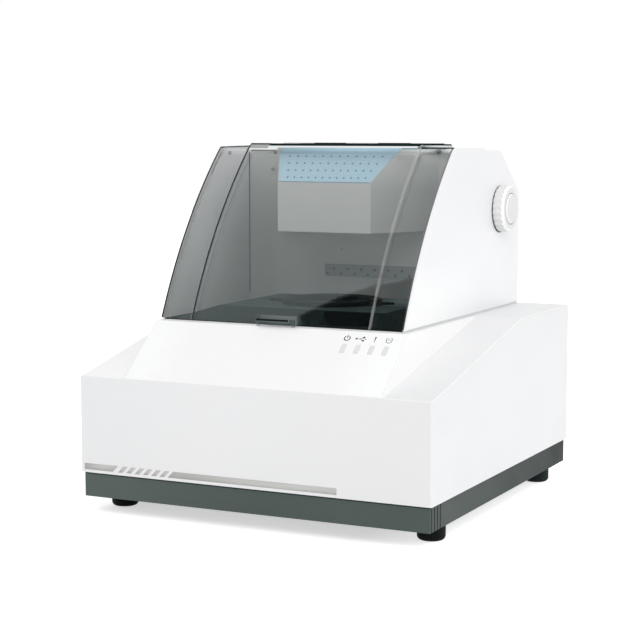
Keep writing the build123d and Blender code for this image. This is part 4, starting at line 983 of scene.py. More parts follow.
@dataclass(frozen=True)
class LightBar(Finish):
    """Frosted light window: pale, with a fine ribbed diffuser and a cloudy core."""

    colour: Vec3
    shade: Vec3
    rib_scale: float = 260.0
    rib_depth: float = 0.00005
    cloud: float = 0.002
    rough: Pair = (0.24, 0.34)

    def dress(self, coat: Coat, tree: NodeTree) -> None:
        """Builds the light window.

        Args:
            coat: Material in the making.
            tree: Its tree, for the nodes that feed the sockets.
        """
        grain = coat.effect(Effect.GRAIN, Scale=900.0, Drift=70.0)
        ribs = tree.add("TexWave", {"Vector": coat.where, "Scale": self.rib_scale}, bands_direction="X")
        coat.put("Base Color", tree.blend(grain["Tone"], linear(self.colour), linear(self.shade)))
        coat.put("Roughness", tree.fit(grain["Height"], *NOISE, *self.rough))
        coat.put("Subsurface Weight", 0.15)
        coat.put("Subsurface Radius", (self.cloud,) * 3)
        coat.put("Subsurface Scale", 1.0)
        coat.bump(ribs["Fac"], self.rib_depth)


RIGHTWARD = toward("X", 0.90, 0.91)
LEFT_CHEEK, RIGHT_CHEEK = (RIGHTWARD, at("X", 0.0, -0.001)), (RIGHTWARD, at("X", 0.0, 0.001))
RAMP = (toward("Z", 0.94, 0.95), toward("Z", 0.992, 0.99))
STEEP_PANEL = (toward("Z", 0.70, 0.71), toward("Z", 0.86, 0.85))
CHAMBER_WALL = at("Y", 0.055, 0.056)
CHAMBER_SIDE = toward("X", 0.5, 0.6)
STAGE_SLOPE = (toward("Z", 0.972, 0.968), toward("Z", 0.90, 0.92))


@dataclass
class FinishBook:
    """Every finish of the analyser, made once."""

    curve: CanopyCurve
    made: dict[str, Material] = field(default_factory=dict)

    def paints(self) -> tuple[Finish, ...]:
        """Painted surfaces.

        Returns:
            The paints, each under its name.
        """
        return (
            Paint("white_housing_paint", (240, 240, 241), 0.4, step=(-2.0, -1.0, -1.0), depth=0.00003, zones=(
                # Painted light and shade: the front darker towards the right, the steep panel, its outer ends
                # and the left ramp lighter, the upright face beside the ramp white, and the right side
                # darker.
                Zone((236, 236, 236), (toward("Y", -0.90, -0.91), at("X", -0.02, 0.18))),
                Zone((250, 250, 250), STEEP_PANEL),
                Zone((254, 255, 255), (*STEEP_PANEL, at("X", 0.09, 0.14, True))),
                Zone((254, 254, 254), (*RAMP, at("X", -0.15, -0.151))),
                Zone((255, 255, 255), (RIGHTWARD, at("X", 0.19, 0.189))),
                Zone((235, 236, 237), (RIGHTWARD, at("X", 0.19, 0.191))))),
            Paint("white_hood_paint", (243, 243, 245), 0.34, step=(-3.0, -2.0, -2.0), depth=0.00002, zones=(
                # Painted light and shade: the right cheek lighter low down and towards the front, the inner
                # face of the left cheek darker towards the bottom and the back.
                Zone((252, 253, 252), (*RIGHT_CHEEK, at("Z", 0.29, 0.225), at("Y", 0.08, -0.10))),
                Zone((220, 222, 222), (*LEFT_CHEEK, at("Z", 0.39, 0.25))),
                Zone((196, 198, 198), (*LEFT_CHEEK, at("Z", 0.42, 0.29), at("Y", -0.07, 0.04))))),
            Paint("chamber_white_paint", (213, 215, 214), 0.45, step=-5.0, dust=0.0, shine=0.3, zones=(
                # Painted light and shade: the back wall darker towards the bottom, the side faces lighter,
                # and darker again towards the bottom.
                Zone((181, 184, 183), (CHAMBER_WALL, at("X", -0.085, -0.12), at("Z", 0.405, 0.31))),
                Zone((192, 195, 194), (CHAMBER_WALL, at("X", -0.13, -0.05), at("Z", 0.290, 0.250))),
                Zone((166, 171, 170), (CHAMBER_WALL, at("X", 0.0, 0.05), at("Z", 0.272, 0.258))),
                Zone((222, 223, 222), (CHAMBER_SIDE,)),
                Zone((196, 198, 197), (CHAMBER_SIDE, at("Z", 0.40, 0.36))))),
            Paint("plinth_grey_paint", (84, 94, 91), 0.55, -5.0, depth=0.00006, dust=0.03, shine=0.12, zones=(
                # Painted light and shade: the left part lighter, the right side darker and darker still
                # towards the back, and a painted shadow line along the top under the housing.
                Zone((90, 100, 97), (at("X", -0.05, -0.16),)),
                Zone((78, 86, 84), (RIGHTWARD,)),
                Zone((38, 45, 44), (RIGHTWARD, at("Y", -0.1, 0.21))),
                Zone((30, 42, 42), (at("Z", 0.0450, 0.0451),)))),
            Paint("head_blue_paint", (202, 237, 254), 0.45, step=(-5.0, -4.0, -2.0), dust=0.0, shine=0.3),
            Paint("rail_grey_paint", (153, 158, 156), 0.5, (-6.0, -5.0, -5.0), 900.0, dust=0.0, shine=0.1),
        )

    def mouldings(self) -> tuple[Finish, ...]:
        """Mouldings, rubbers and prints of the body.

        Returns:
            The mouldings, each under its name.
        """
        return (
            Moulding("foot_rubber", (8, 12, 14), 0.62, step=4.0, grain=900.0, dust=0.03, shine=0.12,
                     zones=(Zone((34, 43, 44), (at("Y", 0.1, 0.11),)),)),
            Trim("hood_gasket_rubber", (16, 20, 21), 0.6, step=8.0, zones=(
                Zone((226, 228, 228), (at("X", 0.1488, 0.1489, True),)),
                Zone((230, 231, 231), (at("Y", -0.140, -0.1401), at("Z", 0.2174, 0.2170))))),
            Moulding("black_trim", (14, 17, 18), 0.32, step=6.0, grain=2200.0, dust=0.03),
            Trim("insert_satin", (24, 34, 34), step=-2.0, shine=0.01),
            Trim("insert_black", (8, 12, 13), step=-2.0, shine=0.01),
            Moulding("socket_black_plastic", (17, 18, 19), 0.42, step=7.0, dust=0.05),
            Moulding("belt_rubber", (18, 18, 18), 0.7, step=8.0, dust=0.02),
            Moulding("print_grey", (201, 200, 198), step=-4.0, dust=0.0),
            Moulding("print_dark", (70, 70, 68), dust=0.0),
            Moulding("print_white", (232, 232, 230), step=-10.0, dust=0.0),
            FineTrim("stage_gloss", (74, 89, 89), 0.4, step=-5.0, shine=0.02, zones=(
                # Painted light and shade: a lighter patch at the back right, and the sloped faces darker,
                # less so at the left.
                Zone((150, 172, 172), (at("Y", -0.03, 0.03), at("X", 0.01, 0.06))),
                Zone((30, 41, 41), STAGE_SLOPE),
                Zone((56, 68, 67), (*STAGE_SLOPE, at("X", -0.06, -0.14))))),
            FineTrim("carrier_black", (12, 15, 16), 0.35, step=4.0, shine=0.03),
            FineTrim("knob_grey_plastic", (231, 231, 230), 0.4, (-3.0, -2.0, -2.0), 2000.0, shine=0.5, zones=(
                # Painted highlight: white on the chamfer round the knob's face.
                Zone((255, 255, 255), (toward("X", 0.4, 0.41, True), toward("X", 0.87, 0.86, True))),)),
            FineTrim("table_dark", (50, 61, 60), 0.45, step=-5.0, grain=1800.0, shine=0.02),
            FineTrim("cup_dark", (14, 19, 19), 0.4, step=-3.0, grain=1800.0, shine=0.03),
        )

    def trims(self) -> tuple[Finish, ...]:
        """Small trims of the sheets, the chamber, the knobs and the grip.

        Returns:
            The trims, each under its name.
        """
        return (
            # Painted light: white crest highlights, and pale plates in the dark gap under the crest.
            FineTrim("bend_white", (236, 240, 241), 0.3, step=(-6.0, -5.0, -5.0), depth=0.00001, shine=0.5),
            # Grey painted reflection near the door's crest.
            FineTrim("bend_grey", (172, 172, 171), 0.3, depth=0.00001),
            FineTrim("sheet_edge_dark", (30, 44, 44), depth=0.00001, shine=0.05),
            Trim("hinge_leaf_dark", (22, 30, 30), 0.4, step=-4.0,
                 # Painted light: the leaf pale below its top, where it lies in the dark gap under the door.
                 zones=(Zone((200, 203, 202), (at("Z", 0.4140, 0.4135),)),)),
            Trim("rim_grey", (146, 147, 145), 0.4, shine=0.2, zones=(
                # Painted light and shade: lighter towards the top, darker towards the bottom.
                Zone((168, 168, 166), (at("Z", 0.33, 0.40),)),
                Zone((130, 132, 129), (at("Z", 0.30, 0.24),)))),
            Trim("join_grey", (132, 132, 130), step=-4.0, zones=(
                # Painted shade: darker towards the bottom.
                Zone((112, 113, 112), (at("Z", 0.37, 0.29),)), Zone((60, 66, 65), (at("Z", 0.28, 0.235),)))),
            Trim("bumper_grey", (178, 181, 180), 0.6),
            # Painted shade in the chamber's corner.
            Trim("corner_grey", (112, 118, 118), 0.6),
            # Painted shadow in the gap behind the knobs.
            Trim("washer_dark", (92, 102, 101), 0.6),
            Trim("edge_blue", (120, 160, 184)),
            # Painted shade of the holes in the head's panel and the rail.
            Trim("dot_blue", (112, 152, 176)),
            Trim("dot_grey", (84, 92, 92), step=-8.0),
            # Painted highlights and the slot's painted shade on the clear grip, with its mid and grey bands.
            Trim("grip_light", (126, 134, 133), 0.4),
            Trim("grip_mid", (104, 113, 112), 0.4),
            Trim("grip_grey", (78, 89, 88), 0.4),
            Trim("grip_dark", (12, 22, 22), 0.4, step=(-3.0, -4.0, -4.0), shine=0.05),
        )

    def others(self) -> tuple[Finish, ...]:
        """Metals, smoked and clear plastics, glass, board and lights.

        Returns:
            The other finishes, each under its name.
        """
        return (
            Metal("turned_table_steel", (52, 56, 57), MetalWork.TURNED, roughness=0.45),
            Metal("cast_bench_aluminium", (168, 170, 172), MetalWork.CAST, roughness=0.45),
            Metal("brushed_panel_aluminium", (190, 192, 194), MetalWork.DRAWN, roughness=0.36),
            Metal("drawn_motor_steel", (142, 145, 148), MetalWork.DRAWN, stretch=(1200.0, 1200.0, 25.0)),
            Metal("plated_screw_steel", (160, 162, 166), MetalWork.CAST, roughness=0.25),
            Metal("plated_pin_brass", (196, 172, 112), MetalWork.DRAWN, roughness=0.25),
            Metal("mirror_coat", (225, 227, 230), MetalWork.CAST, roughness=0.1, depth=0.000002),
            SmokedSheet("smoked_left_strip", self.curve, veil=0.235, veil_top=0.15),
            SmokedSheet("smoked_right_strip", self.curve, veil_top=0.235),
            SmokedSheet("smoked_door", self.curve, split=0.002),
            ClearPlastic("clear_grip", (66, 78, 77), veil=0.75),
            SealStrip("pale_seal", (196, 197, 194), self.curve),
            OpticGlass("window_glass", (232, 242, 244)),
            OpticGlass("bulb_glass", (246, 242, 232)),
            CircuitBoard("board_green", (22, 84, 52), (70, 122, 84), (30, 32, 34), 0.0317),
            LightBar("light_window", (233, 233, 231), (228, 229, 226)),
        )

    def build(self) -> None:
        """Makes each material."""
        for finish in (*self.paints(), *self.mouldings(), *self.trims(), *self.others()):
            self.made[finish.name] = finish.material()
        log.info("%d finishes", len(self.made))

    def __getitem__(self, name: str) -> Material:
        """The material of that name."""
        return self.made[name]


@dataclass
class CadDress:
    """Gives every carried-over CAD node its finish."""

    book: FinishBook
    wear: dict[str, str] = field(default_factory=lambda: {
        "white_housing_paint": "lower_housing",
        "white_hood_paint": "right_cheek left_cheek rear_cover",
        "chamber_white_paint": "back_wall head_cover header_bar hinge_base",
        "head_blue_paint": "head_panel",
        "plinth_grey_paint": "plinth_tray",
        "foot_rubber": "rubber_feet",
        "light_window": "status_lights",
        "socket_black_plastic": "power_inlet rocker_bezel power_rocker fan_frame",
        "black_trim": "fan_rotor roller_cover",
        "hood_gasket_rubber": "hood_gasket",
        "smoked_right_strip": "right_canopy_strip",
        "smoked_left_strip": "left_canopy_strip",
        "smoked_door": "door_panel",
        "pale_seal": "door_seals",
        "clear_grip": "door_handle",
        "hinge_leaf_dark": "door_hinge_leaf",
        "knob_grey_plastic": "right_knob left_knob",
        "stage_gloss": "stage_deck",
        "insert_satin": "slope_insert",
        "rail_grey_paint": "sample_rail",
        "carrier_black": "cup_carrier",
        "table_dark": "turntable",
        "cup_dark": "sample_cup",
        "window_glass": "cup_window condenser_lens measuring_window",
        "bulb_glass": "lamp_bulb",
        "belt_rubber": "drive_belt",
        "board_green": "main_board",
        "mirror_coat": "fold_mirror grating",
        "turned_table_steel": "turntable_bearing",
        "plated_screw_steel": "foot_screws case_screws knob_studs",
        "plated_pin_brass": "inlet_pins",
        "drawn_motor_steel": "data_port hinge_pin drive_motor",
        "brushed_panel_aluminium": "rear_panel lamp_housing power_supply",
        "cast_bench_aluminium": "head_detector turntable_pulley bearing_housing motor_pulley window_mount "
                                "spectrometer_box detector_module",
    })

    def build(self) -> None:
        """Puts the finish on each node's own material slots."""
        finish_of = {node: finish for finish, nodes in self.wear.items() for node in nodes.split()}
        for name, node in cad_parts.items():
            material = self.book[finish_of[name]]
            if not node.data.materials:
                node.data.materials.append(material)
            for slot in node.material_slots:
                slot.material = material
            log.info("%s wears %s", name, material.name)


@dataclass
class FrontStripe:
    """Printed stripe along the front's lower edge: a bar, six slanted bars and a long bar, in millimetres."""

    book: FinishBook
    low: float = 50.3
    high: float = 57.5
    slant: float = 7.2
    first: Pair = (-210.4, -172.6)
    slanted_from: float = -165.8
    slanted_width: float = 6.0
    slanted_pitch: float = 10.9
    slanted_count: int = 6
    last: Pair = (-100.9, 106.6)
    lifts: Pair = (-0.02, 0.06)

    def build(self) -> None:
        """Makes the stripe as one thin raised print."""
        place = Place((0.0, cad_box[0][1] / MM, 0.0))
        shell = Shell()
        bars = [(*self.first, 0.0, self.slant), (*self.last, self.slant, 0.0)]
        for index in range(self.slanted_count):
            start = self.slanted_from + index * self.slanted_pitch
            bars.append((start, start + self.slanted_width, self.slant, self.slant))
        for start, end, lean_start, lean_end in bars:
            left = np.array([[start, self.low], [start + lean_start, self.high]])
            right = np.array([[end, self.low], [end + lean_end, self.high]])
            shell.band(place, left, right, self.lifts)
        shell.build("front_stripe", "analyser", self.book["print_grey"], "plinth_grey")


@dataclass
class PanelSymbols:
    """Small printed symbols over the status lights: power, link, caution and sample cup, in millimetres."""

    book: FinishBook
    front: Pair = (-222.5, 157.0)
    rise: float = 59.4
    run: float = 70.2
    up_slope: float = 81.0
    columns: tuple[float, ...] = (89.75, 106.25, 122.75, 139.25)
    scale: float = 1.22
    lifts: Pair = (-0.03, 0.05)

    def place(self, column: float) -> Place:
        """Lays a plane on the steep panel, at the symbols' height.

        Args:
            column: Its place across.

        Returns:
            The plane.
        """
        angle = math.atan2(self.rise, self.run)
        along, up = math.cos(angle), math.sin(angle)
        y, z = self.front[0] + self.up_slope * along, self.front[1] + self.up_slope * up
        return Place((column, y, z), RIGHT, (0.0, along, up))

    def line(self, shell: Shell, place: Place, points: object, width: float = 0.95,
             closed: bool = False) -> None:
        """Draws one line of a symbol, at the symbols' scale."""
        shell.path(place, np.array(points) * self.scale, width * self.scale, self.lifts, closed)

    def power(self, shell: Shell, place: Place) -> None:
        """Draws an open ring with an upright bar.

        Args:
            shell: Print that it belongs to.
            place: Plane that it lies on.
        """
        self.line(shell, place, arc((0.0, 0.0), 2.7, 125.0, 415.0, 40))
        self.line(shell, place, [[0.0, 0.4], [0.0, 3.6]])

    def link(self, shell: Shell, place: Place) -> None:
        """Draws three dots joined by two lines.

        Args:
            shell: Print that it belongs to.
            place: Plane that it lies on.
        """
        for x, y, size in ((-4.4, 0.0, 1.0), (2.4, 1.9, 1.1), (2.4, -1.9, 1.1)):
            self.line(shell, place, arc((x, y), size / 2, 0.0, 345.0, 24), size, closed=True)
        self.line(shell, place, [[-3.4, 0.0], [-1.2, 0.0]], 0.5)
        for side in (-1.0, 1.0):
            self.line(shell, place, [[-1.2, 0.0], [1.8, 1.7 * side]], 0.5)
        self.line(shell, place, [[3.6, 0.0], [4.9, 0.0]], 0.9)

    def caution(self, shell: Shell, place: Place) -> None:
        """Draws a tapered stroke over a dot.

        Args:
            shell: Print that it belongs to.
            place: Plane that it lies on.
        """
        stroke = np.array([[0.7, 3.3], [0.4, -0.9]]) * self.scale
        shell.band(place, stroke * [-1.0, 1.0], stroke, self.lifts)
        self.line(shell, place, arc((0.0, -2.4), 0.3, 0.0, 345.0, 24), 0.6, closed=True)

    def cup(self, shell: Shell, place: Place) -> None:
        """Draws an open cup with a level line and two drops.

        Args:
            shell: Print that it belongs to.
            place: Plane that it lies on.
        """
        base = arc((0.0, -0.4), 2.6, 180.0, 360.0, 24)
        self.line(shell, place, np.vstack([[[-2.8, 2.9], [-2.6, -0.4]], base[1:], [[2.8, 2.9]]]), 0.6)
        self.line(shell, place, [[-1.3, 0.5], [1.3, 0.5]], 0.5)
        for x in (-1.1, 1.1):
            self.line(shell, place, [[x, 1.7], [x, 2.7]], 0.5)

    def build(self) -> None:
        """Makes the four symbols as one print."""
        shell = Shell()
        for column, draw in zip(self.columns, (self.power, self.link, self.caution, self.cup)):
            draw(shell, self.place(column))
        shell.build("panel_symbols", "analyser", self.book["print_dark"], "trim_black")


@dataclass
class ChamberFittings:
    """Bumpers on the chamber's back wall and left cheek, and a dark line of painted shade in their corner, in
    millimetres.
    """

    book: FinishBook
    wall_y: float = 58.7
    cheek_x: float = -148.7
    radius: float = 2.6
    height: float = 2.2
    wall_spots: tuple[Pair, ...] = ((-111.9, 405.6), (-115.5, 385.4))
    cheek_spots: tuple[Pair, ...] = ((8.0, 405.5),)
    corner_x: Pair = (-148.5, -147.7)
    corner_y: Pair = (57.6, 58.5)
    corner_z: float = 231.2
    corner_tall: float = 174.0

    def profile(self) -> np.ndarray:
        """Domed button: radius falls as the root of what is left of the height.

        Returns:
            Array (10, 2) of radius and height.
        """
        rise = np.linspace(0.0, 1.0, 10)
        radius = self.radius * np.sqrt(np.clip(1.0 - rise ** 3, 0.02, 1.0))
        return np.stack([radius, rise * self.height], axis=1)

    def build(self) -> None:
        """Makes the bumpers and the painted corner shade."""
        wall, cheek = Place((0.0, self.wall_y, 0.0)), Place((self.cheek_x, 0.0, 0.0), BACK)
        bumpers, line = Shell(), Shell()
        for place, spots in ((wall, self.wall_spots), (cheek, self.cheek_spots)):
            for spot in spots:
                bumpers.lathe(place, spot, self.profile(), 24)
        bumpers.build("chamber_bumpers", "analyser", self.book["bumper_grey"], "gasket_black", smooth=True)
        # Dark line in the corner between back wall and cheek: painted corner shade.
        (left, right), (front, back), z = self.corner_x, self.corner_y, self.corner_z
        corner = np.array([[left, front, z], [right, front, z], [right, back, z], [left, back, z]])
        line.prism(corner, (0.0, 0.0, self.corner_tall))
        line.build("corner_shade_line", "analyser", self.book["corner_grey"], "gasket_black")


@dataclass
class SheetTrim:
    """Dark edge lines and top bars of the smoked sheets, with painted light: white highlights along the
    crests, pale plates in the dark gap under the crest at the right, and a grey painted reflection near the
    door's crest, in metres.
    """

    book: FinishBook
    gap: float = 0.00002
    thin: float = 0.00014
    strip_outer: float = 0.1526
    strip_face: float = 0.1484
    strip_inner: float = 0.1117
    join: Pair = (0.1483, 0.1501)
    plates: tuple[Pair, ...] = ((0.0560, 0.1071), (0.1114, 0.1300))
    door_half: float = 0.1105
    line_width: float = 0.0019
    foot_z: float = 0.2192
    door_lift: float = 0.004
    bar_depth: float = 0.002
    break_x: float = -0.084
    flat_end: float = 0.068

    def edge(self, shell: Shell, lift: float, sides: Pair, low_z: float, rear_y: float) -> None:
        """Adds one thin line that follows the curve.

        Args:
            shell: Piece that it belongs to.
            lift: Distance outside the curve.
            sides: Its range across.
            low_z: Height where it starts.
            rear_y: Place where it ends.
        """
        lines = [self.book.curve.line(lift + rise, low_z, rear_y) for rise in (self.gap, self.thin)]
        shell.ribbon(*lines, sides)

    def bead(self, shell: Shell, sides: Pair, y: float, base: float | Pair, tall: float | Pair) -> None:
        """Adds a small bar across.

        Args:
            shell: Piece that it belongs to.
            sides: Its range across.
            y: Its front.
            base: Its base height, the same or one for each side.
            tall: Its tallness, the same or one for each side.
        """
        rings = []
        for x, low, rise in zip(sides, np.broadcast_to(base, 2), np.broadcast_to(tall, 2)):
            spots = ((y, low), (y + self.bar_depth, low), (y + self.bar_depth, low + rise), (y, low + rise))
            rings.append([(x, *spot) for spot in spots])
        shell.tube(np.array(rings))

    def strips(self) -> None:
        """Makes the lines, rim, join and top bars of the fixed strips, a painted highlight along the right
        strip's crest, and pale plates of painted light in the dark gap under the crest.
        """
        top, crest_y = self.book.curve.top, self.book.curve.crest_middle()[0]
        outer, inner = self.strip_outer, self.strip_inner
        lines, rim, join, crest = (Shell(unit=1.0) for _ in range(4))
        self.edge(lines, 0.0, (-outer, -outer + self.line_width), self.foot_z, crest_y)
        self.bead(lines, (-outer, -inner), crest_y - 0.001, (top, top + 0.0012), (0.0013, 0.0016))
        self.bead(lines, (inner, 0.1503), crest_y - 0.001, top, (0.0015, 0.0013))
        self.bead(lines, (self.break_x, 0.1068), 0.0690, 0.4155, (0.0012, 0.0014))
        self.bead(lines, (0.1122, 0.1460), crest_y + 0.0015, 0.4153, (0.0021, 0.0016))
        lines.build("strip_edge_lines", "analyser", self.book["sheet_edge_dark"], "trim_black")
        self.edge(rim, 0.0, (-outer + self.line_width, -self.strip_face), self.foot_z, crest_y)
        rim.build("strip_rim", "analyser", self.book["rim_grey"], "seal_pale", smooth=True)
        self.edge(join, 0.0, self.join, self.foot_z, crest_y)
        join.build("strip_join", "analyser", self.book["join_grey"], "gasket_black", smooth=True)
        # Painted light: a white highlight along the right strip's crest, and pale plates in the dark gap
        # under the crest.
        self.bead(crest, (0.1140, 0.1475), crest_y + 0.0015, top, 0.0036)
        for sides in self.plates:
            self.bead(crest, sides, 0.0525, 0.4052, 0.0050)
        crest.build("strip_painted_light", "analyser", self.book["bend_white"], "seal_pale")

    def door(self) -> None:
        """Makes the lines of the door, a painted highlight along its crest, and a grey painted reflection
        near the crest on its left part.
        """
        curve, lift, crack = self.book.curve, self.door_lift, self.break_x
        top, crest_y = curve.top + lift, curve.crest_middle()[0]
        left, right = -self.door_half, self.door_half
        lines, bend, haze = (Shell(unit=1.0) for _ in range(3))
        self.edge(lines, lift, (left, left + self.line_width), self.foot_z + 0.001, crest_y)
        self.edge(lines, lift, (crack, right), top - 0.0014, crest_y)
        self.bead(lines, (left, crack), crest_y - 0.0005, top, 0.0016)
        self.bead(lines, (crack, right), crest_y - 0.0005, top, 0.0014)
        for sides in ((left, left + self.line_width), (right - self.line_width, right)):
            self.edge(lines, lift, sides, top, self.flat_end)
        lines.build("door_edge_lines", "door", self.book["sheet_edge_dark"], "trim_black")
        # Painted highlight along the door's crest.
        self.edge(bend, lift, (crack, right - 0.002), top - 0.0033, curve.y_at(top - 0.0015, lift))
        self.edge(bend, lift, (left + 0.002, crack), top - 0.0058, curve.y_at(top - 0.0045, lift))
        bend.build("door_crest_highlight", "door", self.book["bend_white"], "seal_pale", smooth=True)
        # Grey painted reflection near the crest on the door's left part.
        self.edge(haze, lift, (left + 0.002, crack), top - 0.0044, curve.y_at(top - 0.0002, lift))
        haze.build("door_crest_reflection", "door", self.book["bend_grey"], "seal_pale", smooth=True)

    def build(self) -> None:
        """Makes the lines of the fixed strips and of the door."""
        self.strips()
        self.door()


@dataclass
class HeadDetail:
    """Blue lip and lines of the head's panel, and darker discs in the panel's and rail's holes that paint the
    holes' shade, in millimetres.
    """

    book: FinishBook
    foot: Vec3 = (0.0, -35.0, 372.0)
    panel_rise: float = 34.5
    panel_run: float = 36.4
    panel_widths: Pair = (120.0, 209.8)
    panel_depth: float = 93.7
    lip_low: Vec3 = (-76.0, 76.5, 404.9)
    lip_high: Vec3 = (-74.1, 80.0, 411.9)
    lip_out: float = 0.25
    lip_depth: float = 0.9
    bar_gap: float = 0.3
    bar_end: float = 112.0
    bar_tall: float = 1.0
    foot_line: Pair = (-59.0, 59.0)
    foot_rise: float = 0.6
    foot_lifts: Pair = (0.03, 0.12)
    foot_width: float = 0.9
    dot_rows: int = 4
    dot_columns: int = 12
    dot_first: float = 0.17
    dot_step: float = 0.235
    dot_spread: float = 0.80
    rail_face: float = 56.7
    rail_x: float = -43.0
    rail_base: float = 255.6
    rail_pitch: float = 18.0
    rail_columns: int = 8
    rail_rows: tuple[Pair, ...] = ((12.7, 9.2), (3.9, 3.2))

    def slope(self) -> tuple[np.ndarray, np.ndarray]:
        """Directions up the panel and out of it.

        Returns:
            The two directions, of length one.
        """
        angle = math.atan2(self.panel_rise, self.panel_run)
        along, up = math.cos(angle), math.sin(angle)
        return np.array([0.0, along, up]), np.array([0.0, -up, along])

    def lip(self) -> None:
        """Makes the lip, an upright plate that widens upwards, and the lines at its end and at the foot."""
        up, out = self.slope()
        foot = np.array(self.foot)
        low, high = (foot + up * (z - foot[2]) / up[2] + out * self.lip_out + np.outer((left, right), RIGHT)
                     for left, right, z in (self.lip_low, self.lip_high))
        lip, lines = Shell(), Shell()
        lip.prism(np.vstack([low, high[::-1]]), -out * self.lip_depth)
        lip.build("head_panel_edge", "analyser", self.book["head_blue_paint"], "head_blue")
        start, end, top, back = self.lip_high[1] + self.bar_gap, self.bar_end, self.lip_high[2], high[0][1]
        corners = ((start, top - self.bar_tall), (end, top - self.bar_tall), (end, top), (start, top))
        lines.prism(np.array([(x, back, z) for x, z in corners]), BACK)
        base = foot + up * self.foot_rise + out * self.foot_lifts[0] + np.outer(self.foot_line, RIGHT)
        lines.prism(np.vstack([base, base[::-1] + up * self.foot_width]), out * self.foot_lifts[1])
        lines.build("head_edge_lines", "analyser", self.book["edge_blue"], "head_blue")

    def panel_dots(self) -> None:
        """Makes darker discs in the panel's holes, painted shade of the holes: rows at even shares of its
        slope, spread with its width.
        """
        up = self.slope()[0]
        length = math.hypot(self.panel_rise, self.panel_run)
        narrow, wide = self.panel_widths
        lean = (wide - narrow) / 2 / self.panel_depth
        profile = np.array([[1.2, -1.4], [1.2, 0.05], [1.1, 0.09]])
        shell = Shell()
        for row in range(self.dot_rows):
            rise = length * (self.dot_first + row * self.dot_step)
            half = (narrow / 2 + lean * rise * up[1]) * self.dot_spread
            place = Place(tuple(np.array(self.foot) + up * rise), RIGHT, tuple(up))
            for x in np.linspace(-half, half, self.dot_columns):
                shell.lathe(place, (x, 0.0), profile, 16)
        shell.build("panel_dots", "analyser", self.book["dot_blue"], "head_blue")

    def rail_dots(self) -> None:
        """Makes dark discs in the rail's two rows of holes, painted shade of the holes."""
        place = Place((0.0, self.rail_face, 0.0))
        profile = np.array([[1.65, -1.6], [1.65, 0.04], [1.5, 0.1]])
        shell = Shell()
        for inset, rise in self.rail_rows:
            for index in range(self.rail_columns):
                x = self.rail_x + inset + index * self.rail_pitch
                shell.lathe(place, (x, self.rail_base + rise), profile, 16)
        shell.build("rail_dots", "analyser", self.book["dot_grey"], "rail_steel")

    def build(self) -> None:
        """Makes the lip, the lines and the dots."""
        self.lip()
        self.panel_dots()
        self.rail_dots()


@dataclass
class StageDetail:
    """Black cover and rows of small dots on the stage's sloped front, in millimetres."""

    book: FinishBook
    origin: Vec3 = (0.0, -115.0, 224.62)
    up: Vec3 = (0.0, 0.9502, 0.3118)
    cover: tuple[Pair, ...] = ((46.4, -11.0), (53.0, -17.5), (60.0, -19.4), (102.6, -17.4), (103.6, -15.0),
                               (89.5, 15.2), (86.0, 16.6), (40.0, 16.0), (36.5, 14.6), (34.5, 11.0))
    cover_lifts: Pair = (0.3, 0.9)
    fields: tuple[float, ...] = (0.0, 94.0)
    field_side: int = 6
    first_rise: float = 16.0
    dot: float = 0.75
    pitch: float = 4.9
    skew: float = 0.55

    def build(self) -> None:
        """Makes the cover as one thin plate and the dots as small discs."""
        place = Place(self.origin, RIGHT, self.up)
        plate, dots = Shell(), Shell()
        plate.tube(np.stack([place.points(np.array(self.cover), lift) for lift in self.cover_lifts]))
        plate.build("insert_cover", "analyser", self.book["insert_black"], "insert_grey")
        profile = np.array([[self.dot, -0.2], [self.dot, 0.12], [self.dot * 0.9, 0.16]])
        for start in self.fields:
            for row in range(self.field_side):
                for column in range(self.field_side):
                    x = start + (column + row * self.skew) * self.pitch
                    dots.lathe(place, (x, self.first_rise - row * self.pitch), profile, 10)
        dots.build("stage_dots", "analyser", self.book["insert_black"], "insert_grey")


@dataclass
class GripDetail:
    """Plates on the face of the door's grip: painted highlights, the slot's painted shade, and mid and grey
    bands; tone, left, right, low and high, in millimetres.
    """

    book: FinishBook
    face_y: float = -154.9
    face_top: float = 228.5
    lean: float = 0.2069
    depth: float = 0.16
    sunk: float = 0.02
    plates: tuple[tuple[str, float, float, float, float], ...] = (
        ("grip_mid", -20.0, 25.0, 224.7, 228.1), ("grip_light", -19.0, 25.6, 228.1, 228.6),
        ("grip_dark", -24.6, 15.2, 222.6, 224.6), ("grip_light", -23.6, 15.4, 221.9, 222.5),
        ("grip_grey", -21.0, 15.4, 219.3, 221.8), ("grip_light", 15.7, 16.7, 221.2, 225.4),
        ("grip_grey", 17.0, 24.6, 219.6, 224.5), ("grip_light", 24.8, 25.8, 219.2, 227.6))

    def build(self) -> None:
        """Makes the plates, one piece for each tone."""
        tones: dict[str, Shell] = {}
        for tone, left, right, low, high in self.plates:
            corners = ((left, low), (right, low), (right, high), (left, high))
            outline = [(x, self.face_y - (self.face_top - z) * self.lean - self.depth, z) for x, z in corners]
            tones.setdefault(tone, Shell()).prism(np.array(outline), (0.0, self.depth - self.sunk, 0.0))
        for tone, shell in tones.items():
            shell.build(f"{tone}_lines", "door", self.book[tone], "trim_black")


@dataclass
class KnobDetail:
    """Dark rings behind both hand knobs that paint the shadow in the gap between knob and cheek, in
    millimetres.
    """

    book: FinishBook
    centre: Pair = (139.75, 337.55)
    radius: float = 28.35
    base_x: float = 152.7
    depth: float = 0.95
    sunk: float = 0.2
    bevel: float = 0.3

    def build(self) -> None:
        """Makes the painted gap shadow on each cheek."""
        shell = Shell()
        radius, depth = self.radius, self.depth
        profile = np.array([[radius, -self.sunk], [radius, depth - self.sunk], [radius - self.bevel, depth]])
        for side in (-1.0, 1.0):
            place = Place((side * self.base_x, 0.0, 0.0), (0.0, side, 0.0))
            shell.lathe(place, (side * self.centre[0], self.centre[1]), profile, 96)
        shell.build("knob_gap_shadows", "analyser", self.book["washer_dark"], "gasket_black", smooth=True)


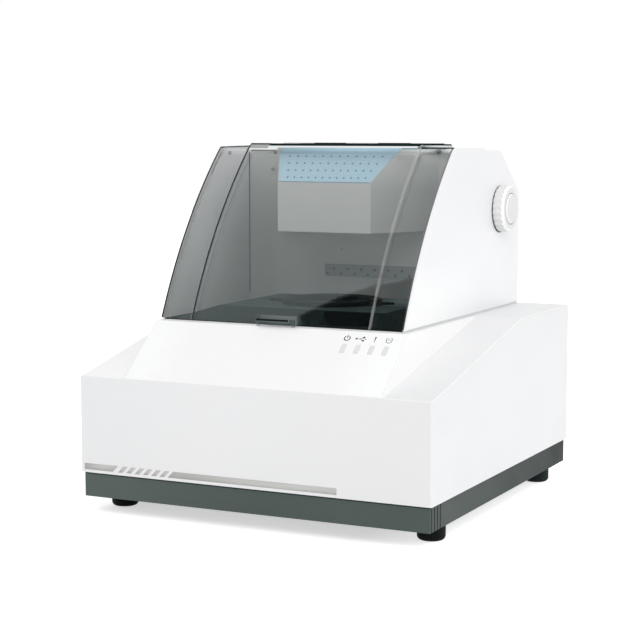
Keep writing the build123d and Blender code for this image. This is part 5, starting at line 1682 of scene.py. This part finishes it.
@dataclass
class RearFittings:
    """Fan screws, and the two marks on the rocker, in millimetres."""

    book: FinishBook
    panel_y: float = 218.5
    fan: Pair = (-88.0, 128.0)
    pitch: float = 71.5
    screw_radius: float = 3.3
    screw_dome: Pair = (0.5, 1.2)
    screw_foot: float = -0.3
    recess: tuple[Pair, ...] = ((1.3, 1.6), (1.1, 0.7), (0.05, 0.5))
    rocker: Vec3 = (118.0, 215.022, 158.0)
    rocker_reach: float = 5.0
    mark_rise: float = 5.0
    tilt: float = 7.0
    mark_lifts: Pair = (-0.03, 0.06)
    mark_half: float = 1.7
    ring_width: float = 0.5
    bar_width: float = 0.55

    def screws(self) -> None:
        """Makes pan heads: radius and height follow a quarter circle, then drop into a round recess."""
        turn = np.linspace(0.0, 1.3, 8)
        radius, (base, tall) = self.screw_radius, self.screw_dome
        dome = np.stack([radius * np.cos(turn) ** 0.7, base + tall * np.sin(turn)], axis=1)
        profile = np.vstack([(radius, self.screw_foot), dome, self.recess])
        rear = Place((0.0, self.panel_y, 0.0), LEFT)
        shell = Shell()
        for across in (-0.5, 0.5):
            for up in (-0.5, 0.5):
                middle = (-(self.fan[0] + across * self.pitch), self.fan[1] + up * self.pitch)
                shell.lathe(rear, middle, profile, 24)
        shell.build("fan_screws", "analyser", self.book["plated_screw_steel"], "screw_steel", smooth=True)

    def marks(self) -> None:
        """Makes the ring on the flush half and the bar on the raised half of the rocker.
        """
        x, y, z = self.rocker
        rest = math.radians(self.tilt)
        reach = self.rocker_reach + self.mark_rise * math.tan(rest)
        half = self.mark_half
        ring, bar = arc((0.0, 0.0), half, 0.0, 352.0, 40), np.array([[0.0, -half], [0.0, half]])
        shell = Shell()
        for side, line, width in ((1.0, ring, self.ring_width), (-1.0, bar, self.bar_width)):
            rise = side * self.mark_rise
            spot_y = y + reach * math.cos(rest) - rise * math.sin(rest)
            spot_z = z + reach * math.sin(rest) + rise * math.cos(rest)
            lean = rest - side * rest
            place = Place((x, spot_y, spot_z), LEFT, (0.0, -math.sin(lean), math.cos(lean)))
            shell.path(place, line, width, self.mark_lifts, closed=line is ring)
        shell.build("rocker_marks", "rocker", self.book["print_white"], "inlet_black")

    def build(self) -> None:
        """Makes the screws and the marks."""
        self.screws()
        self.marks()


@dataclass
class Studio:
    """Plain pale floor, even studio light, white surround and the camera."""

    eye: Vec3 = (0.86872, -1.81515, 0.4337)
    tilt: float = 83.615
    turn: float = 26.136
    lens: float = 95.856
    sensor: float = 36.0
    clip: Pair = (0.05, 60.0)
    key_eye: Vec3 = (1.4, -2.2, 2.2)
    key_aim: Vec3 = (0.0, 0.0, 0.2)
    key_side: float = 1.5
    key_power: float = 20.0
    ambient: float = 0.75
    lean: Vec3 = (0.19, 0.0, 0.10)
    floor_side: float = 6.0
    floor_lift: Pair = (0.56, 0.86)
    floor_rise: Pair = (0.12, 0.26)
    card_corners: tuple[Vec3, ...] = (
        (-0.700, -1.180, 1.189), (-0.669, -1.144, 1.242), (-0.647, -1.117, 1.280), (-0.630, -1.095, 1.312),
        (-0.610, -1.073, 1.345), (-0.589, -1.051, 1.379), (-0.571, -1.035, 1.404), (-0.543, -1.007, 1.448),
        (-0.508, -0.990, 1.487), (-0.487, -0.972, 1.516), (-0.461, -0.942, 1.560), (-0.453, -1.371, 1.169),
        (-0.707, -1.322, 1.053))

    def link(self, name: str, data: bpy.types.ID) -> bpy.types.Object:
        """Makes an object and puts it in the scene.

        Args:
            name: Name of the object.
            data: What it shows.

        Returns:
            The object.
        """
        made = bpy.data.objects.new(name, data)
        bpy.context.scene.collection.objects.link(made)
        return made

    def plane(self, name: str, corners: tuple[Vec3, ...], coat: Coat) -> bpy.types.Object:
        """Makes one flat polygon that belongs to the studio.

        Args:
            name: Name of the object.
            corners: Its corners in metres.
            coat: Its material.

        Returns:
            The object.
        """
        mesh = bpy.data.meshes.new(name)
        mesh.from_pydata(corners, [], [tuple(range(len(corners)))])
        mesh.materials.append(coat.material)
        plane = self.link(name, mesh)
        return plane

    def floor(self) -> None:
        """White floor that keeps the object's shadow; lit rays from the camera add what white still lacks."""
        coat = Coat("floor_white")
        tree, side = coat.tree, self.floor_side
        coat.put("Base Color", linear((250, 250, 250)))
        coat.put("Roughness", 0.9)
        coat.put("Specular IOR Level", 0.0)
        coat.put("Emission Color", WHITE)
        # The camera glow grows towards +X: painted light that lifts the floor's shadow at the right side.
        lift = tree.fit(tree.axis(coat.where, "X"), *self.floor_rise, *self.floor_lift)
        coat.put("Emission Strength", tree.math("MULTIPLY", tree.rays(*SEEN), lift))
        corners = tuple((side * x, side * y, 0.0) for x, y in ((-1, -1), (1, -1), (1, 1), (-1, 1)))
        self.plane("floor", corners, coat)

    def card(self) -> None:
        """Black card over the front that only the gloss of the door sees, as in the photograph."""
        coat = Coat("card_black")
        coat.put("Base Color", BLACK)
        coat.put("Specular IOR Level", 0.0)
        card = self.plane("dark_card", self.card_corners, coat)
        card.visible_camera = False
        card.visible_diffuse = False
        card.visible_shadow = False
        card.visible_transmission = False

    def world(self) -> None:
        """White where it is seen; as light on the object its strength is a base plus direction dot lean."""
        world = bpy.data.worlds.new("studio_world")
        bpy.context.scene.world = world
        world.use_nodes = True
        world.node_tree.nodes.clear()
        tree = NodeTree(world.node_tree)
        drift = tree.vector("DOT_PRODUCT", tree.add("TexCoord")["Generated"], self.lean)
        soft = tree.math("ADD", drift, self.ambient)
        rest = tree.math("SUBTRACT", 1.0, soft)
        level = tree.math("ADD", tree.math("MULTIPLY", tree.rays(*SEEN), rest), soft)
        shade = tree.add("Background", {"Color": WHITE, "Strength": level})
        tree.add("OutputWorld", {0: shade[0]})

    def lamp(self) -> None:
        """Key light: one square soft box."""
        light = bpy.data.lights.new("key_box", "AREA")
        light.shape = "RECTANGLE"
        light.size = light.size_y = self.key_side
        light.energy = self.key_power
        lamp = self.link("key_box", light)
        lamp.location = self.key_eye
        lamp.rotation_mode = "QUATERNION"
        lamp.rotation_quaternion = (Vector(self.key_eye) - Vector(self.key_aim)).to_track_quat("Z", "Y")

    def camera(self) -> None:
        """Camera at the photograph's place."""
        data = bpy.data.cameras.new("camera")
        data.lens = self.lens
        data.sensor_width = self.sensor
        data.clip_start, data.clip_end = self.clip
        eye = self.link("camera", data)
        eye.location = self.eye
        eye.rotation_euler = (math.radians(self.tilt), 0.0, math.radians(self.turn))
        bpy.context.scene.camera = eye

    def build(self) -> None:
        """Sets the whole studio up."""
        bpy.context.scene.view_settings.view_transform = "Standard"
        self.floor()
        self.card()
        self.world()
        self.camera()
        self.lamp()
        log.info("studio ready")


def main() -> None:
    """Builds the looks in order: finishes, CAD nodes, printed marks, fittings, studio."""
    logging.basicConfig(level=logging.INFO, format="%(name)s %(message)s")
    book = FinishBook(CanopyCurve.through((-0.1477, 0.2184), (-0.0084, 0.4117), bulge=0.0118))
    book.build()
    for part in (CadDress, FrontStripe, PanelSymbols, ChamberFittings, SheetTrim, HeadDetail, StageDetail,
                 GripDetail, KnobDetail, RearFittings):
        part(book).build()
    Studio().build()


if __name__ == "__main__":
    main()
